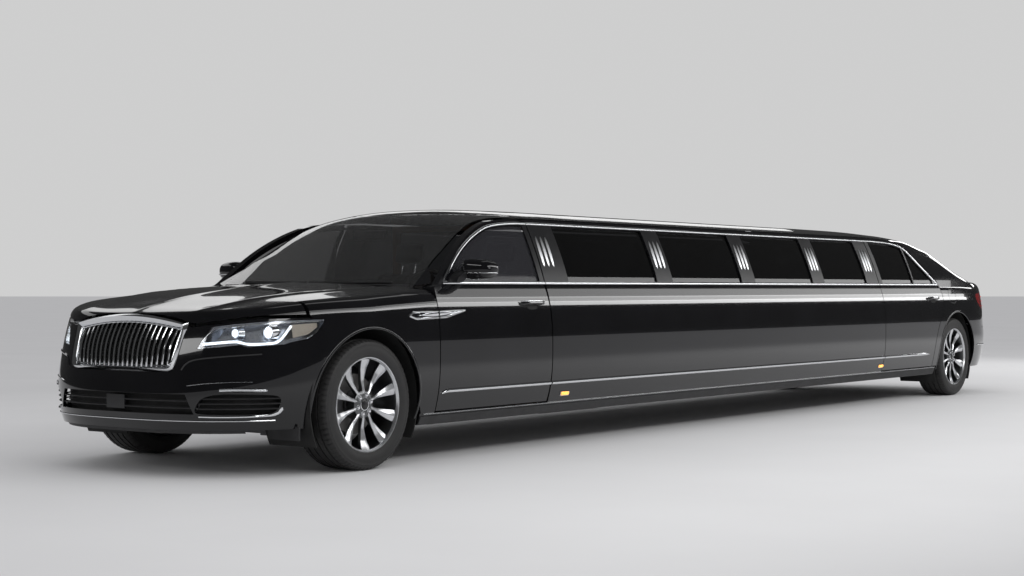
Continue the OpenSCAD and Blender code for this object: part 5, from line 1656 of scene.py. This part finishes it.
# ---------------------------------------------------------------- wheels
class Wheels:
    """Four wheels of one pattern: tyre, rim with flaring spokes, nuts and brake disc."""

    spokes = 10
    nuts = 6

    def tyre(self) -> bpy.types.Object:
        """The tyre with its grooves and shoulder blocks, about its own centre."""
        half = [(112, 254), (114, 262), (121, 276), (123.5, 292), (123.0, 306), (120.5, 318), (121.6, 322), (119, 327),
                (117, 337), (110, 345), (98, 350.5), (84, 352), (74, 352.6), (73, 345.5), (63, 345.5), (62, 352.8),
                (45, 353), (30, 353), (29, 345.5), (19, 345.5), (18, 353), (0, 353)]
        section = half + [(-x, r) for x, r in half[-2::-1]] + [(-96, 250), (96, 250)]
        steps, points = 288, []
        for i in range(steps):
            a = 2 * math.pi * i / steps
            for x, r in section:
                away = abs(x)
                if 78 < away < 119 and r > 330 and i % 4 == 3:
                    r -= 6.0 if away < 115 else 3.0
                if 36 < away < 58 and r > 352 and i % 6 == 2:
                    r -= 4.0
                points.append((x, r * math.cos(a), r * math.sin(a)))
        return self._mesh(points, len(section), steps)

    def _mesh(self, points: list[Point], n: int, steps: int) -> bpy.types.Object:
        """A closed ring mesh from steps of n points, in millimetres about the wheel's centre."""
        faces = [[i * n + j, i * n + (j + 1) % n, ((i + 1) % steps) * n + (j + 1) % n, ((i + 1) % steps) * n + j]
                 for i in range(steps) for j in range(n)]
        return mesh_object("ring", np.array(points) / 1000, faces)

    def ring(self, section: Sequence[Flat], steps: int = 128) -> bpy.types.Object:
        """A section turned about the axle."""
        points = [(x, r * math.cos(2 * math.pi * i / steps), r * math.sin(2 * math.pi * i / steps))
                  for i in range(steps) for x, r in section]
        return self._mesh(points, len(section), steps)

    def spoke(self, turn: float, face: bool) -> bpy.types.Object:
        """One spoke, thin at the hub and flaring to the rim, or only its machined face."""
        rs = np.concatenate((np.linspace(52, 170, 14), np.linspace(180, 243, 12)))
        width = np.interp(rs, (52, 90, 130, 185, 222, 243), (22, 19, 27, 46, 61, 66))
        crest = np.interp(rs, (52, 80, 130, 190, 230, 243), (84, 85, 78, 86, 99, 102))
        edge = crest - np.interp(rs, (52, 120, 200, 243), (5, 6, 8, 7))
        back = np.interp(rs, (52, 140, 243), (50, 52, 66))
        points, count = [], 0
        for r, w, c, e, b in zip(rs, width, crest, edge, back):
            h = w / 2
            if face:
                row = [(-h + 1.2, e + 0.5), (-h * 0.5, (e + c) / 2 + 1.0), (-h * 0.08, c + 0.4), (h * 0.08, c + 0.4),
                       (h * 0.5, (e + c) / 2 + 1.0), (h - 1.2, e + 0.5), (h - 2, e - 3), (-h + 2, e - 3)]
            else:
                row = [(-h, e - 1.5), (-h + 1.5, e + 0.1), (h - 1.5, e + 0.1), (h, e - 1.5),
                       (h * 0.8, b), (-h * 0.8, b)]
            count = len(row)
            for s, x in row:
                points.append((x, r * math.cos(turn) - s * math.sin(turn), r * math.sin(turn) + s * math.cos(turn)))
        faces = grid_faces(len(rs), count, closed=True) + [list(range(count)),
                                                           [(len(rs) - 1) * count + k for k in range(count)]]
        return mesh_object("spoke", np.array(points) / 1000, faces)

    def parts(self) -> list[tuple[str, bpy.types.Object, Finish, float]]:
        """Every piece of one left wheel about its own centre."""
        turns = [2 * math.pi * (i + 0.5) / self.spokes for i in range(self.spokes)]
        barrel = self.ring([(113, 259), (115, 256), (112, 250), (103, 245), (96, 243), (60, 238), (-20, 230),
                            (-96, 234), (-108, 246), (-113, 254), (-110, 259), (-104, 259), (-97, 249.8),
                            (97, 249.8), (106, 259)])
        lip = self.ring([(104, 243.5), (115.6, 250), (116.4, 254), (113, 257), (108, 250), (100, 244)])
        body = [self.spoke(t, False) for t in turns]
        face = [self.spoke(t, True) for t in turns]
        hub = self.ring([(84, 26), (86, 40), (86, 52), (83, 66), (78, 74), (50, 78), (16, 78), (16, 26)], 96)
        cap = self.ring([(84, 0.01), (92, 0.01), (91, 18), (87, 27), (82, 29), (78, 20)], 64)
        ring = self.ring([(84, 27), (89.5, 29), (89, 33), (84, 34)], 64)
        nuts, wells = [], []
        for i in range(self.nuts):
            a = 2 * math.pi * (i + 0.25) / self.nuts
            cy, cz = 52 * math.cos(a), 52 * math.sin(a)
            points = [(x, cy + r * math.cos(k * math.pi / 3), cz + r * math.sin(k * math.pi / 3))
                      for x, r in ((80, 10), (92, 10), (94.5, 8), (95, 0.01)) for k in range(6)]
            faces = grid_faces(4, 6, closed=True) + [list(range(6)), [18 + k for k in range(6)]]
            nuts.append(mesh_object("nut", np.array(points) / 1000, faces))
            ring_pts = [(x, cy + r * math.cos(k * math.pi / 12), cz + r * math.sin(k * math.pi / 12))
                        for x, r in ((85, 12.5), (87.5, 13.5), (87.5, 11.2), (80, 11.0)) for k in range(24)]
            wells.append(mesh_object("well", np.array(ring_pts) / 1000, grid_faces(4, 24, closed=True)
                                     + [[k, (k + 1) % 24, 72 + (k + 1) % 24, 72 + k] for k in range(24)]))
        disc = self.ring([(8, 80), (8, 163), (6, 165), (-5, 165), (-5, 158), (-9, 158), (-9, 165), (-18, 165),
                          (-20, 163), (-20, 80)], 128)
        hat = self.ring([(8, 40), (22, 76), (18, 80), (-2, 82), (-6, 60), (-6, 40)], 96)
        return [("rim_barrel", barrel, Finish.WHEEL_GREY, 35), ("rim_lip", lip, Finish.MACHINED, 35),
                ("spokes", joined("body", body), Finish.WHEEL_GREY, 25),
                ("spoke_faces", joined("face", face), Finish.MACHINED, 14), ("hub", hub, Finish.WHEEL_GREY, 35),
                ("hub_cap", cap, Finish.SATIN, 35), ("hub_ring", ring, Finish.CHROME, 35),
                ("wheel_nuts", joined("nuts", nuts), Finish.CHROME, 20),
                ("nut_wells", joined("wells", wells), Finish.MACHINED, 35), ("brake_disc", disc, Finish.DISC, 30),
                ("disc_hat", hat, Finish.CAST, 35)]

    def build(self) -> None:
        """Makes the four wheels."""
        tyre, parts = self.tyre(), self.parts()
        for end, y in (("front", 0.0), ("rear", FORM.wheelbase)):
            for side, sign in SIDES:
                body = f"{side}_{end}_wheel"
                centre = to_frame([(sign * FORM.wheel_x, y, FORM.wheel_r)])[0]

                def placed(piece: bpy.types.Object) -> bpy.types.Object:
                    """A copy of a piece of the pattern on this wheel."""
                    twin = piece.copy()
                    twin.data = piece.data.copy()
                    bpy.context.scene.collection.objects.link(twin)
                    if sign < 0:
                        flip_over(twin)
                    twin.data.transform(Matrix.Translation(Vector(centre)))
                    return twin

                rubber = placed(tyre)
                rubber.data.materials.append(TyreRubber(f"{body}_rubber", tuple(float(v) for v in centre)).make())
                dress(rubber, f"{side}_{end}_tyre_cover", Finish.PLASTIC, body, stands_for=[f"{side}_{end}_tyre"],
                      keep=True, slot="tyre_rubber", smooth=28)
                for k, (name, piece, finish, smooth) in enumerate(parts):
                    dress(placed(piece), f"{side}_{end}_{name}", finish, body, smooth=smooth,
                          stands_for=[f"{side}_{end}_rim"] if k == 0 else ())
        for piece in [tyre] + [p[1] for p in parts]:
            bpy.data.objects.remove(piece)


# ---------------------------------------------------------------- the cabin
PAD_PRESSURE, PAD_QUALITY, PAD_FRAMES = 4.0, 4, 20


@dataclass(frozen=True)
class Cushion:
    """A stuffed pad of one size, swollen by simulation from a slightly smaller shape."""

    size: Point
    cap: float = 0.018
    voxel: float = 0.009
    channels: int = 0

    def make(self) -> bpy.types.Object:
        """The pad about its own centre, in metres."""
        bpy.ops.object.select_all(action="DESELECT")
        inner = [v / 1000 - 0.024 for v in self.size]
        bpy.ops.mesh.primitive_cube_add(size=1, scale=inner)
        obj = bpy.context.object
        bpy.ops.object.transform_apply(location=True, rotation=True, scale=True)
        bpy.ops.object.mode_set(mode="EDIT")
        bpy.ops.mesh.select_all(action="SELECT")
        bpy.ops.mesh.bevel(offset=min(0.045, 0.4 * min(inner)), segments=4, affect="EDGES")
        bpy.ops.object.mode_set(mode="OBJECT")
        apply_modifier(obj, "REMESH", mode="VOXEL", voxel_size=self.voxel)
        before = np.array([tuple(v.co) for v in obj.data.vertices])
        select_only(obj)
        cloth = obj.modifiers.new("cloth", "CLOTH")
        cloth.settings.use_pressure = True
        cloth.settings.uniform_pressure_force = PAD_PRESSURE
        cloth.settings.effector_weights.gravity = 0.0
        cloth.settings.quality = PAD_QUALITY
        for number in range(1, PAD_FRAMES + 1):
            bpy.context.scene.frame_set(number)
        bpy.ops.object.modifier_apply(modifier=cloth.name)
        bpy.context.scene.frame_set(1)
        after = np.array([tuple(v.co) for v in obj.data.vertices])
        move = after - before
        far = np.linalg.norm(move, axis=1, keepdims=True)
        after = before + move * np.minimum(1, self.cap / np.maximum(far, 1e-9))
        half = np.array(self.size) / 2000
        after = np.clip(after, -half, half)
        if self.channels:
            reach = self.size[0] / 1000 * 0.86
            for k in range(self.channels):
                line = -reach / 2 + reach * (k + 0.5) / self.channels
                dip = np.exp(-((after[:, 0] - line) / 0.009) ** 2) * 0.010
                after[:, 2] -= np.sign(after[:, 2]) * dip * (np.abs(after[:, 2]) > half[2] * 0.45)
        for v, p in zip(obj.data.vertices, after):
            v.co = Vector(p)
        return obj


class Cabin:
    """Seats, door trims and fittings that show through the glass and the open doors."""

    def __init__(self) -> None:
        """Starts with no pads made."""
        self.made: dict[Cushion, bpy.types.Object] = {}

    def pad(self, kind: Cushion, name: str, centre: Point, turn: Sequence[float] = (0, 0, 0),
            stands_for: Sequence[str] = ()) -> None:
        if kind not in self.made:
            self.made[kind] = kind.make()
        twin = self.made[kind].copy()
        twin.data = self.made[kind].data.copy()
        bpy.context.scene.collection.objects.link(twin)
        turned_by = Matrix.Rotation(math.radians(turn[2]), 4, "Z") @ Matrix.Rotation(math.radians(turn[0]), 4, "X")
        twin.data.transform(Matrix.Translation(Vector(to_frame([centre])[0])) @ turned_by)
        dress(twin, name, Finish.HIDE, stands_for=stands_for, smooth=70)

    def front_seats(self) -> None:
        """Both front seats."""
        cushion = Cushion((536, 516, 146), channels=4)
        back = Cushion((516, 620, 126), channels=4)
        rest = Cushion((236, 146, 88), cap=0.01, voxel=0.007)
        bases, posts = [], []
        for side, sign in SIDES:
            x = sign * 380.0
            self.pad(cushion, f"{side}_front_cushion", (x, 1490, 446), stands_for=["front_seats"] if sign > 0 else ())
            lean = math.radians(14)
            up = lambda along, off: (1660 + along * math.sin(lean) + off * math.cos(lean) + 8,
                                     500 + along * math.cos(lean) - off * math.sin(lean))
            y, z = up(320, 65)
            self.pad(back, f"{side}_front_back", (x, y, z), (90 - 14, 0, 0))
            y, z = up(740, 55)
            self.pad(rest, f"{side}_headrest", (x, y, z), (90 - 14, 0, 0))
            bases.append(rounded_box((x - 210, 1290, 250), (x + 210, 1690, 376), 14))
            for dx in (-55, 55):
                y0, z0 = up(610, 60)
                y1, z1 = up(700, 60)
                points = np.array([(x + dx, y0 + (y1 - y0) * u, z0 + (z1 - z0) * u) for u in (0, 0.5, 1)])
                posts.append(ribbon(points, np.tile((0.0, 1.0, 0.0), (3, 1)), 13, 13, Profile.ROD))
        dress(joined("bases", bases), "front_seat_bases", Finish.PLASTIC)
        dress(joined("posts", posts), "headrest_posts", Finish.CHROME)

    def lounge(self) -> None:
        """The long side couch and the rear bench."""
        seat, back = Cushion((772, 488, 128), channels=3), Cushion((772, 440, 126), channels=3)
        for k in range(5):
            y = 2250 + 780 * (k + 0.5)
            self.pad(seat, f"couch_cushion_{k}", (-540, y, 434), (0, 0, 90),
                     stands_for=["lounge_seats"] if k == 0 else ())
            self.pad(back, f"couch_back_{k}", (-733, y, 735), (90, 0, 90))
        seat, back = Cushion((452, 540, 146), channels=3), Cushion((452, 550, 126), channels=3)
        lean = math.radians(16)
        for k in (-1, 0, 1):
            self.pad(seat, f"bench_cushion_{k + 1}", (k * 458, 7318, 443))
            y, z = 7480 + 280 * math.sin(lean) + 62 * math.cos(lean), 502 + 280 * math.cos(lean) - 62 * math.sin(lean)
            self.pad(back, f"bench_back_{k + 1}", (k * 458, y, z), (90 - 16, 0, 0))
        bases = [rounded_box((-795, 2254, 250), (-300, 6146, 368), 12),
                 rounded_box((-650, 7060, 250), (650, 7300, 368), 12)]
        dress(joined("bases", bases), "lounge_bases", Finish.TRIM_HIDE)

    def doors(self) -> None:
        """Leather-covered trims with armrests and speaker grilles inside the doors."""
        for which, y0, y1 in (("front", 720, 1620), ("rear", 6590, 7480)):
            panel = wall(y0, y1, 330, 960, 84.2, 12, 12)
            soft = wall(y0 + 40, y1 - 60, 700, 900, 96, 14, 14)
            for one in (panel, soft):
                apply_modifier(one.obj, "BEVEL", width=0.008, segments=3, limit_method="ANGLE")
            arm = rounded_box((800, y0 + 200, 640), (866, y1 - 120, 690), 18, 4)
            pull = rounded_box((838, y0 + 240, 780), (852, y0 + 400, 800), 6)
            net = [rounded_box((846, y0 + 60 + 16 * k, 400), (864, y0 + 68 + 16 * k, 520), 2, 1) for k in range(10)]
            for name, piece, finish in (("trim", joined("trim", [panel.obj, soft.obj, arm]), Finish.TRIM_HIDE),
                                        ("pull", pull, Finish.CHROME), ("speaker_bars", joined("net", net),
                                                                        Finish.PLASTIC)):
                other = twin_over(piece)
                dress(piece, f"left_{which}_door_{name}", finish, f"left_{which}_door")
                dress(other, f"right_{which}_door_{name}", finish, f"right_{which}_door")

    def front(self) -> None:
        """Dashboard details and the inside mirror."""
        hood = rounded_box((220, 800, 940), (540, 1000, 990), 22, 4)
        shelf = rounded_box((-790, 660, 925), (790, 950, 962), 16, 4)
        dress(joined("top", [hood, shelf]), "dashboard_top", Finish.TRIM_HIDE)
        screen = rounded_box((-140, 962, 780), (140, 984, 930), 8)
        dials = rounded_box((250, 962, 850), (510, 985, 934), 8)
        dress(joined("screens", [screen, dials]), "dashboard_screens", Finish.TINT)
        vents = [rounded_box((x, 958, 850 + 12 * k), (x + 130, 976, 856 + 12 * k), 2, 1) for x in (-330, 600, -720)
                 for k in range(5)]
        dress(joined("vents", vents), "dashboard_vents", Finish.CHROME)
        band = rounded_box((-780, 960, 740), (780, 977, 772), 6)
        dress(band, "dashboard_veneer", Finish.WALNUT)
        glass = rounded_box((-125, 1052, 1272), (125, 1078, 1332), 10, 4)
        stem = rounded_box((-9, 1010, 1310), (9, 1062, 1326), 5)
        dress(joined("mirror", [glass, stem]), "inside_mirror", Finish.PLASTIC)

    def build(self) -> None:
        """Makes the cabin and lets the patterns go."""
        for make in (self.front_seats, self.lounge, self.doors, self.front):
            make()
        for pattern in self.made.values():
            bpy.data.objects.remove(pattern)


# ---------------------------------------------------------------- studio
KEPT = {
    "floor_pan": Finish.CARPET, "front_subframe": Finish.CAST, "engine_block": Finish.CAP, "rear_axle": Finish.CAST,
    "exhaust_system": Finish.STEEL, "left_front_knuckle": Finish.CAST, "right_front_knuckle": Finish.CAST,
    "dashboard": Finish.PLASTIC, "steering_wheel": Finish.TRIM_HIDE, "bar_and_partition": Finish.WALNUT,
}


def finish_kept_nodes() -> None:
    """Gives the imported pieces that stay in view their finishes."""
    for node, finish in KEPT.items():
        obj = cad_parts[node]
        obj.data.materials.clear()
        obj.data.materials.append(finish.material())


@dataclass(frozen=True)
class Softbox:
    """One soft area light, aimed at a place on the car, its long side along an axis of the frame."""

    name: str
    place: Point
    target: Point
    size: Flat
    watts: float
    along: Point = (0.0, 1.0, 0.0)

    def add(self) -> None:
        """Adds the light."""
        lamp = bpy.data.lights.new(self.name, "AREA")
        lamp.shape = "RECTANGLE"
        lamp.size, lamp.size_y = self.size
        lamp.energy = self.watts
        obj = bpy.data.objects.new(self.name, lamp)
        obj.location = self.place
        obj.visible_camera = False
        back = (Vector(self.place) - Vector(self.target)).normalized()
        along = Vector(self.along)
        tall = (along - back * along.dot(back)).normalized()
        obj.rotation_euler = Matrix((tall.cross(back), tall, back)).transposed().to_euler()
        bpy.context.scene.collection.objects.link(obj)


SOFTBOXES = (
    Softbox("overhead_strip", (0.3, 1.0, 5.2), (0.2, 1.0, 0.0), (0.8, 10.0), 16.0),
    Softbox("left_low_bank", (4.7, 4.0, 2.52), (0.9, 4.0, 0.9), (0.28, 22.0), 105.0),
    Softbox("left_middle_bank", (4.7, 4.0, 2.86), (0.9, 4.0, 0.9), (0.4, 22.0), 90.0),
    Softbox("left_high_bank", (4.7, 4.0, 3.44), (0.9, 4.0, 0.9), (0.75, 22.0), 85.0),
    Softbox("right_bank", (-4.7, 3.0, 3.0), (-0.9, 3.0, 0.9), (0.8, 18.0), 42.0),
    Softbox("front_bank", (-1.5, -11.0, 3.6), (0.0, -4.5, 0.7), (0.6, 4.0), 40.0, (1.0, 0.0, 0.0)),
    Softbox("rear_bank", (0.0, 11.5, 3.4), (0.0, 4.5, 0.7), (0.9, 5.0), 70.0, (1.0, 0.0, 0.0)),
)


FLOOR_SIZE = 400
SURROUND, SURROUND_STRENGTH = (0.78, 0.78, 0.80, 1), 0.85
RAY_SHADES = (("Is Glossy Ray", 0.78, 0.06), ("Is Transmission Ray", 0.78, 0.4), ("Is Camera Ray", 0.62, 1.0))


def studio() -> None:
    """The pale floor, the surrounding light and the softboxes."""
    bpy.ops.mesh.primitive_plane_add(size=FLOOR_SIZE)
    floor = bpy.context.object
    floor.name = "floor"
    s = Shader("pale_floor")
    cloud = s.noise(0.8, 5.0)
    tone = s.mix(cloud, (0.64, 0.64, 0.64), (0.70, 0.70, 0.70))
    floor.data.materials.append(s.principled(Base_Color=tone, Roughness=cloud * 0.15 + 0.30,
                                             Specular_IOR_Level=0.0))
    world = bpy.data.worlds.new("studio")
    bpy.context.scene.world = world
    world.use_nodes = True
    tree = world.node_tree
    soft = tree.nodes["Background"]
    soft.inputs[0].default_value = SURROUND
    soft.inputs[1].default_value = SURROUND_STRENGTH
    path = tree.nodes.new("ShaderNodeLightPath")
    last = soft.outputs[0]
    for ray, shade, strength in RAY_SHADES:
        plain = tree.nodes.new("ShaderNodeBackground")
        plain.inputs[0].default_value = (shade, shade, shade, 1)
        plain.inputs[1].default_value = strength
        mix = tree.nodes.new("ShaderNodeMixShader")
        tree.links.new(path.outputs[ray], mix.inputs[0])
        tree.links.new(last, mix.inputs[1])
        tree.links.new(plain.outputs[0], mix.inputs[2])
        last = mix.outputs[0]
    tree.links.new(last, tree.nodes["World Output"].inputs[0])
    for box in SOFTBOXES:
        box.add()


CAMERA_PLACE = (7.04, -11.12, 0.979)
CAMERA_HEADING = (-0.594, 0.804)
CAMERA_LENS, CAMERA_SENSOR, CAMERA_REACH = 60.68, 36.0, 200


def camera() -> None:
    """The camera, level, at the height of the windows' lower line."""
    lens = bpy.data.cameras.new("camera")
    lens.lens, lens.sensor_width, lens.clip_end = CAMERA_LENS, CAMERA_SENSOR, CAMERA_REACH
    obj = bpy.data.objects.new("camera", lens)
    obj.location = CAMERA_PLACE
    obj.rotation_euler = (math.pi / 2, 0, math.atan2(-CAMERA_HEADING[0], CAMERA_HEADING[1]))
    bpy.context.scene.collection.objects.link(obj)
    bpy.context.scene.camera = obj


def main() -> None:
    """Builds the whole scene."""
    bpy.context.scene.view_settings.view_transform = "Standard"
    camera()
    for part in (Panels(), Trim(), Wheels(), Cabin()):
        part.build()
    finish_kept_nodes()
    studio()


if __name__ == "__main__":
    main()
